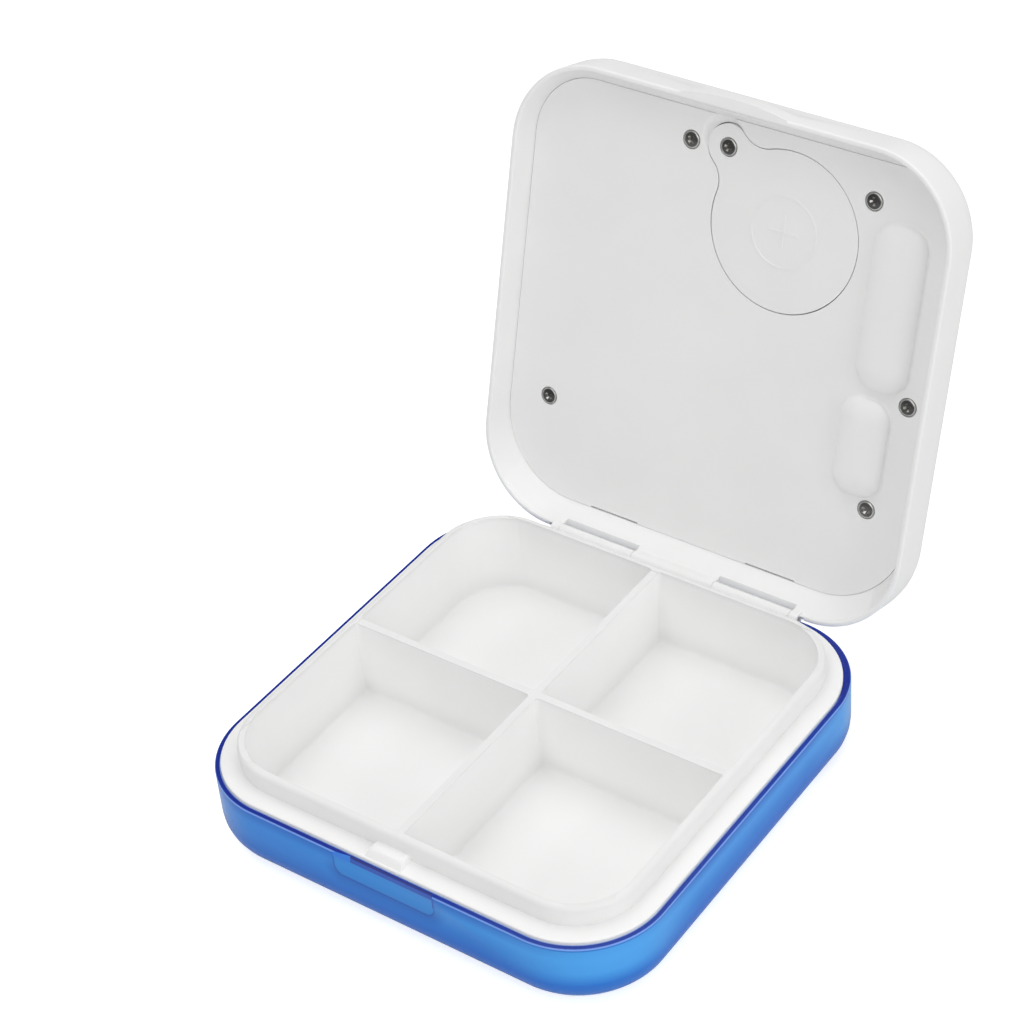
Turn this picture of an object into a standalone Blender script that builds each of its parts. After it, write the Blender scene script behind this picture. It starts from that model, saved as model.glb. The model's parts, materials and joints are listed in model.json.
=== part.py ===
"""Pill box with timer: a blue base that holds a white tray, and a timer lid hinged behind it.

Metres, +Z up. The origin is at the middle of the underside, the latch side is at -Y and the hinge
is at +Y. The lid and all it holds are drawn closed, over the base, and the empty on the hinge axis
then swings them open. Shares of places are shares of half the box's width.
"""
import math

import bmesh
import bpy
from mathutils import Matrix, Vector

# Overall sizes
WIDTH = 0.068
CORNER = 0.0126
BASE_HEIGHT = 0.011
LID_HEIGHT = 0.0099
PARTING_GAP = 0.0002
OPEN_ANGLE = math.radians(106.2)
HALF = WIDTH / 2
LID_RIM_Z = BASE_HEIGHT + PARTING_GAP
LID_TOP_Z = LID_RIM_Z + LID_HEIGHT

# Clearances and working lengths
GAP = 0.0003
FINE_GAP = 0.0002
TIGHT_GAP = 0.00015
RUNNING_GAP = 0.00007
OVERRUN = 0.001
EMBED = 0.0002
WELD = 0.000001
CORNER_STEPS = 6
EDGE_STEPS = 3
ROUND_SIDES = 24
TURNED_SIDES = 16
SMALL_SIDES = 14

# Outer shell of the base
SHELL_EDGE_ROUND = 0.0045
SHELL_FLOOR = 0.0012
SHELL_WALL = 0.002
RIM_WALL = 0.00075
SEAT_DROP = 0.0008
SCOOP_TOP_WIDTH = 0.015
SCOOP_FOOT_WIDTH = 0.0102
SCOOP_DEPTH = 0.0004
SCOOP_HEIGHT = 0.0045

# Inner tray
FLANGE_RISE = 0.0005
FLANGE_GAP = 0.00025
FLANGE_THICKNESS = SEAT_DROP - GAP + FLANGE_RISE
LIP_RISE = 0.00365
LIP_INSET = 0.0033
LIP_WALL = 0.001
LIP_ROUND = 0.0003
TRAY_FLOOR = 0.0012
TRAY_EDGE_ROUND = 0.0016
TRAY_DRAFT = 0.0008
DIVIDER_WALL = 0.001
DIVIDER_DRAFT = 0.0003
DIVIDER_SHIFT = 0.00025
DIVIDER_DROP = 0.00015
FLOOR_FILLET = 0.001
CATCH_WIDTH = 0.0062
CATCH_RISE = 0.0015
CATCH_REACH = 0.0016
TAB_WIDTH = 0.006
TAB_HEIGHT = 0.0019
TAB_DROP = 0.0007
TAB_REACH = 0.0007
TAB_SHIFT = -0.001

# Hinge
AXIS_RISE = 0.0001
KNUCKLE_RADIUS = 0.0012
KNUCKLE_INNER = 0.007
KNUCKLE_WIDTH = 0.01185
EAR_RADIUS = 0.0011
EAR_WIDTH = 0.0013
PIN_RADIUS = 0.00045
PIN_REACH = 0.00065
NOTCH_DEPTH = 0.0018
NOTCH_HEIGHT = 0.0017
HINGE_POINT = Vector((0, HALF, BASE_HEIGHT + AXIS_RISE))

# Lid shell
LID_EDGE_ROUND = 0.0048
LID_TOP_WALL = 0.0011
RIM_LIP = 0.0008
REAR_LAND = 0.0029
REAR_LAND_RISE = 0.0006
SEAM_SIDE = 0.0014
SEAM_FRONT = 0.00285
SEAM_REAR = 0.00303
SEAM_CORNER_FRONT = 0.0092
SEAM_CORNER_REAR = 0.0122
PANEL_LEDGE = 0.0005
INNER_ROUND = 0.003
BULGE_LIP_WIDTH = 0.0162
BULGE_LIP_REACH = 0.00085
BULGE_LIP_HEIGHT = 0.003
LATCH_WIDTH = 0.0072
LATCH_HEIGHT = 0.002
CROSS_ARM = 0.00536
CROSS_LENGTH = 0.0162
CROSS_DEPTH = 0.00015
CROSS_SPOT_SHARES = (0.618, -0.615)

# Lid panel, the inner face of the lid
PANEL_DEPTH = 0.0039
PANEL_WALL = 0.0009
PANEL_SEAM = 0.00015
POCKET_WALL = 0.0007
POCKET_DEPTH = 0.0016
POCKET_ROUND = 0.0014
MOTOR_POCKET_WIDTH = 0.0078
MOTOR_POCKET_LENGTH = 0.0231
MOTOR_POCKET_CORNER = 0.0032
MOTOR_POCKET_SIDE_GAP = 0.003404
MOTOR_POCKET_FRONT_GAP = 0.007547
CAP_POCKET_WIDTH = 0.0073
CAP_POCKET_LENGTH = 0.014
CAP_POCKET_CORNER = 0.0028
CAP_POCKET_SIDE_GAP = 0.0050004
CAP_POCKET_FRONT_GAP = 0.001493
SLOT_WIDTH = 0.008
SLOT_DEPTH = 0.0005
SLOT_SPOT_SHARE = 0.382
PANEL_Z = LID_RIM_Z + PANEL_DEPTH
PANEL_TOP_Z = PANEL_Z + PANEL_WALL
MOTOR_POCKET_FRONT = SEAM_FRONT + MOTOR_POCKET_FRONT_GAP - HALF
MOTOR_POCKET_SPOT = (
    HALF - SEAM_SIDE - MOTOR_POCKET_SIDE_GAP - MOTOR_POCKET_WIDTH / 2,
    MOTOR_POCKET_FRONT + MOTOR_POCKET_LENGTH / 2,
)
CAP_POCKET_SPOT = (
    HALF - SEAM_SIDE - CAP_POCKET_SIDE_GAP - CAP_POCKET_WIDTH / 2,
    MOTOR_POCKET_FRONT + MOTOR_POCKET_LENGTH + CAP_POCKET_FRONT_GAP + CAP_POCKET_LENGTH / 2,
)

# Screws
HEAD_RADIUS = 0.0012
HEAD_THICKNESS = 0.0005
HEAD_PROUD = 0.00015
HEAD_ROUND = 0.00015
SHANK_RADIUS = 0.00055
SHANK_LENGTH = 0.0032
RECESS_DEPTH = 0.0003
RECESS_ARM = 0.0004
RECESS_LENGTH = 0.0015
BOSS_RADIUS = 0.0017
COUNTERBORE_DEPTH = 0.00055
PANEL_SCREW_SHARES = (
    (-0.228, -0.785),
    (0.597, -0.75),
    (-0.765, 0.479),
    (0.871, 0.0165),
    (0.765, 0.491),
)

# Battery, its bay and its door
CELL_RADIUS = 0.01
CELL_THICKNESS = 0.0032
CELL_RIM = 0.0009
CELL_STEP = 0.0003
BAY_CLEARANCE = 0.00035
BAY_WALL = 0.0007
BAY_SLOT = 0.0044
DOOR_CELL_GAP = 0.00115
DOOR_RADIUS = CELL_RADIUS + DOOR_CELL_GAP
DOOR_SIDE_GAP = 0.002392
DOOR_FRONT_GAP = 0.002201
CELL_SPOT = (
    MOTOR_POCKET_SPOT[0] - MOTOR_POCKET_WIDTH / 2 - DOOR_SIDE_GAP - DOOR_RADIUS,
    SEAM_FRONT + DOOR_FRONT_GAP + DOOR_RADIUS - HALF,
)
LOBE_RADIUS = 0.00315
NECK_RADIUS = 0.004
LOBE_SIDE_REACH = 0.0098532
LOBE_FRONT_REACH = 0.009299
DOOR_SCREW_SPOT = (CELL_SPOT[0] - LOBE_SIDE_REACH, CELL_SPOT[1] - LOBE_FRONT_REACH)
PRY_RADIUS = 0.0035
PRY_DEPTH = 0.0005
PRY_SHIFT_X = 0.0009
PRY_SHIFT_Y = 0.0011
CONTACT_WALL = 0.00015
CONTACT_WIDTH = 0.0025
CONTACT_FOOT = 0.0025

# Circuit board and what it carries
BOARD_WALL = 0.0008
BOARD_LEFT_SHARE = -0.853
BOARD_RIGHT_SHARE = 0.6176
BOARD_FRONT_SHARE = -0.706
BOARD_STEP_X_SHARE = -0.03
BOARD_STEP_Y_SHARE = -0.19
BOARD_REAR_SHARE = 0.809
BOARD_ROUND = 0.003
BOARD_Z = PANEL_TOP_Z + FINE_GAP
BOARD_TOP_Z = BOARD_Z + BOARD_WALL
PART_Z = BOARD_TOP_Z + TIGHT_GAP
CHIP_RADIUS = 0.004
CHIP_HEIGHT = 0.0005
CHIP_SPOT_SHARES = (-0.15, 0.47)
CRYSTAL_RADIUS = 0.001
CRYSTAL_LENGTH = 0.006
CRYSTAL_SPOT_SHARES = (-0.72, 0.03)
BUZZER_RADIUS = 0.0055
BUZZER_HEIGHT = 0.0022
BUZZER_HOLE = 0.0008
BUZZER_HOLE_DEPTH = 0.0006
BUZZER_SPOT_SHARES = (-0.309, -0.485)
LED_SPOT_SHARES = (-0.553, -0.568)
LED_HOLE = 0.00112
LED_BASE = 0.00145
LED_BASE_HEIGHT = 0.0012
LED_STEM = 0.00092
LED_SUNK = 0.0005
SWITCH_SIDE = 0.0046
SWITCH_HEIGHT = 0.00145
PLUNGER_RADIUS = 0.0011
PLUNGER_HEIGHT = 0.00035
MOTOR_RADIUS = 0.002
MOTOR_LENGTH = 0.0115
MOTOR_END_GAP = 0.0006
SHAFT_RADIUS = 0.0004
SHAFT_LENGTH = 0.0064
WEIGHT_RADIUS = 0.0019
WEIGHT_HUB = 0.0009
WEIGHT_LENGTH = 0.0046
WEIGHT_START = 0.0012
CAPACITOR_LENGTH = 0.0115
CAPACITOR_GROOVE = 0.0002

# Display
WINDOW_SPOT_SHARES = (0.0133, 0.4485)
WINDOW_WIDTH = 0.0411
WINDOW_DEPTH = 0.0183
WINDOW_CORNER = 0.001
WINDOW_SUNK = 0.0009
WINDOW_WALL = 0.0008
WINDOW_FLANGE = 0.001
FRAME_WIDTH = 0.0012
FRAME_DEPTH = 0.0004
GLASS_WALL = 0.0011
GLASS_MARGIN = 0.0005
GLASS_TOP_Z = LID_TOP_Z - WINDOW_SUNK - WINDOW_WALL - FINE_GAP
GLASS_LOW_Z = GLASS_TOP_Z - GLASS_WALL
STRIP_WIDTH = 0.0015
STRIP_END_GAP = 0.00205
STRIP_INSET = 0.001

# Buttons
BUTTON_WIDTH = 0.01112
BUTTON_DEPTH = 0.00694
BUTTON_PROUD = 0.0004
BUTTON_ROUND = 0.0004
BUTTON_FLANGE = 0.0005
BUTTON_FLANGE_WALL = 0.00045
BUTTON_TRAVEL = 0.0004
BUTTON_FREE_PLAY = 0.00005
BUTTON_ROW_SHARE = -0.101
BUTTON_LABELS = ("hour", "mode", "minute")
BUTTON_SHARES = (-0.4618, 0.0088, 0.475)

# Colour, roughness, metallic value and transparency of each finish
FINISHES = {
    "blue_plastic": ((0.03, 0.12, 0.62), 0.25, 0.0, 0.75),
    "white_plastic": ((0.82, 0.83, 0.83), 0.42, 0.0, 1.0),
    "steel": ((0.55, 0.54, 0.52), 0.3, 1.0, 1.0),
    "dark_steel": ((0.14, 0.14, 0.145), 0.3, 1.0, 1.0),
    "clear_window": ((0.9, 0.92, 0.9), 0.08, 0.0, 0.25),
    "display_glass": ((0.28, 0.3, 0.26), 0.25, 0.0, 1.0),
    "connector_rubber": ((0.1, 0.1, 0.12), 0.8, 0.0, 1.0),
    "board_green": ((0.03, 0.2, 0.08), 0.5, 0.0, 1.0),
    "black_plastic": ((0.02, 0.02, 0.02), 0.45, 0.0, 1.0),
    "brass": ((0.6, 0.45, 0.16), 0.3, 1.0, 1.0),
    "led_lens": ((0.45, 0.24, 0.16), 0.2, 0.0, 1.0),
}

QUARTER_TURN = math.pi / 2


def spot(shares):
    """Place on the plan, from shares of half the width."""
    return shares[0] * HALF, shares[1] * HALF


# Plan outlines: half width, front, rear, front corner radius and rear corner radius

def square_plan(inset):
    """The box's own outline, drawn in by an inset."""
    return HALF - inset, inset - HALF, HALF - inset, CORNER - inset, CORNER - inset


def inset_plan(plan, inset):
    """A plan drawn in by the same distance all round."""
    half_x, front, rear, corner_front, corner_rear = plan
    return half_x - inset, front + inset, rear - inset, corner_front - inset, corner_rear - inset


def corner_arc(centre_x, centre_y, radius, start, sweep=QUARTER_TURN, steps=CORNER_STEPS):
    """Points of an arc, both ends included."""
    angles = [start + sweep * k / steps for k in range(steps + 1)]
    return [(centre_x + radius * math.cos(a), centre_y + radius * math.sin(a)) for a in angles]


def plan_points(plan):
    """Points of a plan, anticlockwise from the rear right corner."""
    half_x, front, rear, corner_front, corner_rear = plan
    rear_x = half_x - corner_rear
    rear_y = rear - corner_rear
    front_x = half_x - corner_front
    front_y = front + corner_front
    points = corner_arc(rear_x, rear_y, corner_rear, 0)
    points += corner_arc(-rear_x, rear_y, corner_rear, QUARTER_TURN)
    points += corner_arc(-front_x, front_y, corner_front, 2 * QUARTER_TURN)
    points += corner_arc(front_x, front_y, corner_front, 3 * QUARTER_TURN)
    return points


def stadium_points(width, depth, centre, steps=CORNER_STEPS):
    """Points of a slot with half round ends, anticlockwise."""
    radius = depth / 2
    reach = width / 2 - radius
    half_turn = 2 * QUARTER_TURN
    right = corner_arc(centre[0] + reach, centre[1], radius, -QUARTER_TURN, half_turn, 2 * steps)
    left = corner_arc(centre[0] - reach, centre[1], radius, QUARTER_TURN, half_turn, 2 * steps)
    return right + left


def rectangle_points(width, depth, centre, corner, steps=CORNER_STEPS):
    """Points of a rectangle with round corners, anticlockwise."""
    points = []
    for quarter, (side_x, side_y) in enumerate(((1, 1), (-1, 1), (-1, -1), (1, -1))):
        x = centre[0] + side_x * (width / 2 - corner)
        y = centre[1] + side_y * (depth / 2 - corner)
        points += corner_arc(x, y, corner, quarter * QUARTER_TURN, QUARTER_TURN, steps)
    return points


def door_points(grow):
    """Battery door outline: the cell's round cover and the screw's lobe, blended at the neck."""
    cover = Vector(CELL_SPOT)
    lobe = Vector(DOOR_SCREW_SPOT)
    cover_radius = DOOR_RADIUS + grow
    lobe_radius = LOBE_RADIUS + grow
    neck_radius = NECK_RADIUS - grow
    span = lobe - cover
    distance = span.length
    along = span / distance
    across = Vector((-along.y, along.x))
    to_cover = cover_radius + neck_radius
    to_lobe = lobe_radius + neck_radius
    foot = (distance ** 2 + to_cover ** 2 - to_lobe ** 2) / (2 * distance)
    height = math.sqrt(to_cover ** 2 - foot ** 2)
    necks = [cover + along * foot + across * height * side for side in (1, -1)]

    def bearing(start, end):
        return math.atan2(end.y - start.y, end.x - start.x)

    def arc(centre, radius, start, end, turn, steps):
        sweep = (end - start) % (2 * math.pi) if turn > 0 else -((start - end) % (2 * math.pi))
        return corner_arc(centre.x, centre.y, radius, start, sweep, steps)

    left, right = necks
    points = arc(cover, cover_radius, bearing(cover, left), bearing(cover, right), 1, 6 * CORNER_STEPS)
    points += arc(right, neck_radius, bearing(right, cover), bearing(right, lobe), -1, CORNER_STEPS)[1:]
    points += arc(lobe, lobe_radius, bearing(lobe, right), bearing(lobe, left), 1, 2 * CORNER_STEPS)[1:]
    points += arc(left, neck_radius, bearing(left, lobe), bearing(left, cover), -1, CORNER_STEPS)[1:-1]
    return points


# Shapes, each a bmesh in closed position

def loft(sections):
    """Solid through level sections, each a list of points and a height, lowest first."""
    shape = bmesh.new()
    rings = [[shape.verts.new((x, y, z)) for x, y in points] for points, z in sections]
    count = len(rings[0])
    for lower, upper in zip(rings, rings[1:]):
        for k in range(count):
            following = (k + 1) % count
            shape.faces.new((lower[k], lower[following], upper[following], upper[k]))
    shape.faces.new(list(reversed(rings[0])))
    shape.faces.new(rings[-1])
    return shape


def plan_block(low_plan, high_plan, low, high, low_round=0, high_round=0):
    """Solid between two plans, with its lower or upper edge rounded over."""
    sections = []
    angles = [k / EDGE_STEPS * QUARTER_TURN for k in range(EDGE_STEPS + 1)]
    for angle in angles if low_round else (QUARTER_TURN,):
        outline = plan_points(inset_plan(low_plan, low_round * (1 - math.sin(angle))))
        sections.append((outline, low + low_round * (1 - math.cos(angle))))
    for angle in reversed(angles) if high_round else (QUARTER_TURN,):
        outline = plan_points(inset_plan(high_plan, high_round * (1 - math.sin(angle))))
        sections.append((outline, high - high_round * (1 - math.cos(angle))))
    return loft(sections)


def flat_shape(outlines, low, high):
    """Flat solid from closed outlines, where an inner outline is a hole."""
    curve = bpy.data.curves.new("outline", "CURVE")
    curve.dimensions = "2D"
    curve.fill_mode = "BOTH"
    curve.extrude = (high - low) / 2
    for outline in outlines:
        spline = curve.splines.new("POLY")
        spline.points.add(len(outline) - 1)
        spline.use_cyclic_u = True
        for point, (x, y) in zip(spline.points, outline):
            point.co = (x, y, 0, 1)
    guide = bpy.data.objects.new("outline", curve)
    guide.location.z = (low + high) / 2
    CUTTERS.objects.link(guide)
    bpy.context.view_layer.update()
    mesh = bpy.data.meshes.new_from_object(guide.evaluated_get(bpy.context.evaluated_depsgraph_get()))
    shape = bmesh.new()
    shape.from_mesh(mesh)
    bmesh.ops.remove_doubles(shape, verts=shape.verts, dist=WELD)
    bmesh.ops.transform(shape, matrix=guide.matrix_world, verts=shape.verts)
    bmesh.ops.recalc_face_normals(shape, faces=shape.faces)
    bpy.data.objects.remove(guide)
    bpy.data.curves.remove(curve)
    bpy.data.meshes.remove(mesh)
    return shape


def side_shape(outline, low_x, high_x):
    """Flat solid whose outline is drawn in y and z, and whose thickness runs along x."""
    shape = flat_shape([outline], low_x, high_x)
    turn = Matrix(((0, 0, 1, 0), (1, 0, 0, 0), (0, 1, 0, 0), (0, 0, 0, 1)))
    bmesh.ops.transform(shape, matrix=turn, verts=shape.verts)
    return shape


def box(low, high):
    """Plain block between two corners."""
    shape = bmesh.new()
    bmesh.ops.create_cube(shape, size=1)
    size = Vector(high) - Vector(low)
    bmesh.ops.scale(shape, vec=size, verts=shape.verts)
    bmesh.ops.translate(shape, vec=Vector(low) + size / 2, verts=shape.verts)
    return shape


def cylinder(radius, start, end, sides=ROUND_SIDES, end_radius=None):
    """Cylinder or cone between two points on its axis."""
    shape = bmesh.new()
    run = Vector(end) - Vector(start)
    top = radius if end_radius is None else end_radius
    bmesh.ops.create_cone(
        shape, cap_ends=True, segments=sides, radius1=radius, radius2=top, depth=run.length)
    turn = run.to_track_quat("Z", "Y").to_matrix().to_4x4()
    middle = Vector(start) + run / 2
    bmesh.ops.transform(shape, matrix=Matrix.Translation(middle) @ turn, verts=shape.verts)
    return shape


def upright(radius, place, low, high, sides=ROUND_SIDES, end_radius=None):
    """Upright cylinder at a place on the plan."""
    return cylinder(radius, (*place, low), (*place, high), sides, end_radius)


def combined(shapes):
    """One bmesh of several shapes that don't meet."""
    whole = bmesh.new()
    for shape in shapes:
        mesh = bpy.data.meshes.new("shape")
        shape.to_mesh(mesh)
        whole.from_mesh(mesh)
        shape.free()
        bpy.data.meshes.remove(mesh)
    return whole


# Objects

def empty_scene():
    """Remove what the scene holds."""
    for leftover in list(bpy.data.objects):
        bpy.data.objects.remove(leftover)


def new_collection(name):
    collection = bpy.data.collections.new(name)
    bpy.context.scene.collection.children.link(collection)
    return collection


def finish_material(finish):
    """Principled material of one finish."""
    colour, roughness, metallic, alpha = FINISHES[finish]
    material = bpy.data.materials.get(finish) or bpy.data.materials.new(finish)
    material.use_nodes = True
    shader = material.node_tree.nodes["Principled BSDF"]
    shader.inputs["Base Color"].default_value = (*colour, 1)
    shader.inputs["Roughness"].default_value = roughness
    shader.inputs["Metallic"].default_value = metallic
    shader.inputs["Alpha"].default_value = alpha
    material.diffuse_color = (*colour, alpha)
    return material


def place(item, point, parent):
    """Put an object's origin at a point of the closed box, under a parent or under none."""
    item.location = point
    if parent:
        item.parent = parent
        item.location = Vector(point) - Vector(parent["closed_point"])


def mesh_object(name, shape, collection, parent, origin):
    """Object whose mesh is the shape, with its origin at a point of the closed box."""
    bmesh.ops.translate(shape, vec=-Vector(origin), verts=shape.verts)
    mesh = bpy.data.meshes.new(name)
    shape.to_mesh(mesh)
    shape.free()
    mesh.shade_smooth()
    mesh.set_sharp_from_angle(angle=math.radians(35))
    item = bpy.data.objects.new(name, mesh)
    collection.objects.link(item)
    place(item, origin, parent)
    return item


def piece(name, shape, finish, parent=None, origin=(0, 0, 0)):
    """One sub-part of the box."""
    item = mesh_object(name, shape, PARTS, parent, origin)
    item.data.materials.append(finish_material(finish))
    return item


def combine(item, operation, name, shape, parent=None):
    """Cut a shape from a piece, or join it on, with a guide kept out of the render."""
    guide = mesh_object(name, shape, CUTTERS, parent, (0, 0, 0))
    guide.hide_render = True
    guide.display_type = "WIRE"
    modifier = item.modifiers.new(name, "BOOLEAN")
    modifier.operation = operation
    modifier.solver = "EXACT"
    modifier.object = guide


def cut(item, name, shape, parent=None):
    combine(item, "DIFFERENCE", name, shape, parent)


def join(item, name, shape, parent=None):
    combine(item, "UNION", name, shape, parent)


def cut_cross(item, name, arm, length, centre, low, high, parent):
    """Cut an upright cross with equal arms, as two bars."""
    x, y = centre
    for label, half_x, half_y in (("across", length / 2, arm / 2), ("along", arm / 2, length / 2)):
        bar = box((x - half_x, y - half_y, low), (x + half_x, y + half_y, high))
        cut(item, name + "_" + label, bar, parent)


def turned(name, profile, finish, parent, origin):
    """Turned piece from a profile of radius and height that runs down its outer side."""
    mesh = bpy.data.meshes.new(name)
    points = [(radius, 0, height) for radius, height in profile]
    mesh.from_pydata(points, [(k, k + 1) for k in range(len(points) - 1)], [])
    item = bpy.data.objects.new(name, mesh)
    PARTS.objects.link(item)
    place(item, origin, parent)
    screw = item.modifiers.new("turn", "SCREW")
    screw.steps = TURNED_SIDES
    screw.render_steps = TURNED_SIDES
    screw.use_merge_vertices = True
    screw.merge_threshold = WELD
    mesh.materials.append(finish_material(finish))
    return item


def hinge_empty(name, point, parent=None):
    """Empty on a joint's axis, which carries what moves with it."""
    item = bpy.data.objects.new(name, None)
    item["closed_point"] = tuple(point)
    PARTS.objects.link(item)
    place(item, point, parent)
    return item


# Base

def make_outer_shell():
    rim_low = BASE_HEIGHT - SEAT_DROP
    shell = piece("outer_shell", plan_block(
        square_plan(0), square_plan(0), 0, BASE_HEIGHT, low_round=SHELL_EDGE_ROUND), "blue_plastic")
    hollow = square_plan(SHELL_WALL)
    cut(shell, "shell_hollow", plan_block(
        hollow, hollow, SHELL_FLOOR, BASE_HEIGHT + OVERRUN, low_round=SHELL_EDGE_ROUND - SHELL_WALL))
    seat = square_plan(RIM_WALL)
    cut(shell, "tray_seat", plan_block(seat, seat, rim_low, BASE_HEIGHT + OVERRUN))
    cut(shell, "hinge_relief", hinge_relief())
    cut(shell, "finger_scoop", finger_scoop())
    cut(shell, "tab_windows", combined([snap_tab(side, GAP) for side in (-1, 1)]))


def hinge_relief():
    """Room in the rear wall for the tray's knuckles and the lid's ears."""
    far = KNUCKLE_INNER + KNUCKLE_WIDTH + GAP + EAR_WIDTH + GAP
    reach = KNUCKLE_RADIUS + GAP
    return box(
        (-far, HALF - reach, HINGE_POINT.z - reach), (far, HALF + OVERRUN, BASE_HEIGHT + OVERRUN))


def finger_scoop():
    """Wedge that thins the front wall towards the rim, for a fingertip."""
    top = SCOOP_TOP_WIDTH / 2
    foot = SCOOP_FOOT_WIDTH / 2
    depth_run = SCOOP_DEPTH / SCOOP_HEIGHT
    sections = []
    for height, half_width in ((-SCOOP_HEIGHT, foot), (OVERRUN, top)):
        inner = -HALF + SCOOP_DEPTH + depth_run * height
        outer = -HALF - OVERRUN
        outline = [(-half_width, outer), (half_width, outer), (half_width, inner), (-half_width, inner)]
        sections.append((outline, BASE_HEIGHT + height))
    return loft(sections)


def snap_tab(side, grow):
    """Snap tab on a side of the tray, or with a clearance its window in the shell."""
    inner = HALF - SHELL_WALL - LIP_WALL
    outer = HALF - SHELL_WALL + TAB_REACH + (grow / 2)
    ends = sorted((side * inner, side * outer))
    half_width = TAB_WIDTH / 2 + grow
    high = BASE_HEIGHT - TAB_DROP + grow
    low = BASE_HEIGHT - TAB_DROP - TAB_HEIGHT - grow
    return box((ends[0], TAB_SHIFT - half_width, low), (ends[1], TAB_SHIFT + half_width, high))


def make_inner_tray():
    lip_z = BASE_HEIGHT + LIP_RISE
    flange_z = BASE_HEIGHT + FLANGE_RISE
    under_z = SHELL_FLOOR + GAP
    floor_z = under_z + TRAY_FLOOR
    top_plan = square_plan(LIP_INSET)
    foot_plan = inset_plan(top_plan, TRAY_DRAFT)
    tub = plan_block(foot_plan, top_plan, under_z, lip_z, low_round=TRAY_EDGE_ROUND, high_round=LIP_ROUND)
    tray = piece("inner_tray", tub, "white_plastic")
    flange_plan = square_plan(RIM_WALL + FLANGE_GAP)
    join(tray, "flange", plan_block(
        flange_plan, flange_plan, flange_z - FLANGE_THICKNESS, flange_z, high_round=FINE_GAP))
    join(tray, "catch", box(
        (-CATCH_WIDTH / 2, -HALF + LIP_INSET - CATCH_REACH, flange_z - EMBED),
        (CATCH_WIDTH / 2, -HALF + LIP_INSET + EMBED, BASE_HEIGHT + CATCH_RISE)))
    join(tray, "snap_tabs", combined([snap_tab(side, 0) for side in (-1, 1)]))
    join(tray, "tab_roots", combined([tab_root(side) for side in (-1, 1)]))
    cut(tray, "ear_reliefs", combined([ear_relief(*span) for span in ear_spans()]))
    join(tray, "knuckle_arms", combined([knuckle_arm(side) for side in (-1, 1)]))
    join(tray, "knuckles", combined([knuckle(side) for side in (-1, 1)]))
    cut(tray, "pin_holes", combined([pin_rod(side, RUNNING_GAP, OVERRUN) for side in (-1, 1)]))
    pockets = [pocket(sx, sy, floor_z, lip_z) for sx in (-1, 1) for sy in (-1, 1)]
    cut(tray, "compartments", combined(pockets))
    inside = HALF - LIP_INSET - LIP_WALL - GAP
    cut(tray, "divider_tops", box(
        (-inside, -inside, lip_z - DIVIDER_DROP), (inside, inside, lip_z + OVERRUN)))


def tab_root(side):
    """Web that ties a snap tab to the flange above it and to the tray's wall."""
    inner = HALF - LIP_INSET - LIP_WALL / 2
    outer = HALF - SHELL_WALL - GAP
    ends = sorted((side * inner, side * outer))
    low = BASE_HEIGHT - TAB_DROP - TAB_HEIGHT
    high = BASE_HEIGHT - GAP
    half_width = TAB_WIDTH / 2 - GAP
    return box((ends[0], TAB_SHIFT - half_width, low + EMBED), (ends[1], TAB_SHIFT + half_width, high))


def pocket(side_x, side_y, floor_z, lip_z):
    """One compartment, drafted, with a round outer corner and a filleted floor."""
    outer = HALF - LIP_INSET - LIP_WALL
    corner = CORNER - LIP_INSET - LIP_WALL
    high = lip_z + OVERRUN
    rise = high - floor_z
    slope = math.pi / 4
    fillet_steps = (
        (0, FLOOR_FILLET),
        (FLOOR_FILLET * (1 - math.cos(slope)), FLOOR_FILLET * (1 - math.sin(slope))),
        (FLOOR_FILLET, 0),
        (rise, 0),
    )
    sections = []
    for height, inset in fillet_steps:
        draft = 1 - height / rise
        near = DIVIDER_WALL / 2 + DIVIDER_DRAFT * draft + inset
        far = outer - TRAY_DRAFT * draft - inset
        radius = corner - inset
        near_y = near + side_y * DIVIDER_SHIFT
        points = [(near, near_y), (far, near_y)]
        points += corner_arc(far - radius, far - radius, radius, 0)
        points += [(near, far)]
        points = [(side_x * x, side_y * y) for x, y in points]
        if side_x * side_y < 0:
            points.reverse()
        sections.append((points, floor_z + height))
    return loft(sections)


def knuckle_ends(side):
    return sorted((side * KNUCKLE_INNER, side * (KNUCKLE_INNER + KNUCKLE_WIDTH)))


def knuckle(side):
    low_x, high_x = knuckle_ends(side)
    y, z = HINGE_POINT.yz
    return cylinder(KNUCKLE_RADIUS, (low_x, y, z), (high_x, y, z), ROUND_SIDES)


def knuckle_arm(side):
    """Arm from the flange over the blue rim to a knuckle."""
    low_x, high_x = knuckle_ends(side)
    flange_z = BASE_HEIGHT + FLANGE_RISE
    start = HALF - NOTCH_DEPTH + GAP
    return box((low_x, start, flange_z - FLANGE_THICKNESS + WELD), (high_x, HALF, flange_z - WELD))


def ear_spans():
    """Lower and higher x of the lid's ears: a long one between the knuckles and two beside them."""
    middle = KNUCKLE_INNER - GAP
    near = KNUCKLE_INNER + KNUCKLE_WIDTH + GAP
    far = near + EAR_WIDTH
    return ((-middle, middle), (near, far), (-far, -near))


def ear_relief(low_x, high_x):
    """Room in the tray's flange for one of the lid's ears."""
    low = (low_x - GAP, HALF - EAR_RADIUS - GAP, BASE_HEIGHT - LIP_RISE)
    high = (high_x + GAP, HALF + OVERRUN, LID_TOP_Z)
    return box(low, high)


def pin_rod(side, grow, extra):
    """Hinge pin, or with a clearance its hole."""
    near = KNUCKLE_INNER - GAP - PIN_REACH
    far = KNUCKLE_INNER + KNUCKLE_WIDTH + GAP + EAR_WIDTH - GAP
    y, z = HINGE_POINT.yz
    start = (side * (near - grow), y, z)
    end = (side * (far + extra), y, z)
    return cylinder(PIN_RADIUS + grow, start, end, SMALL_SIDES)


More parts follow.
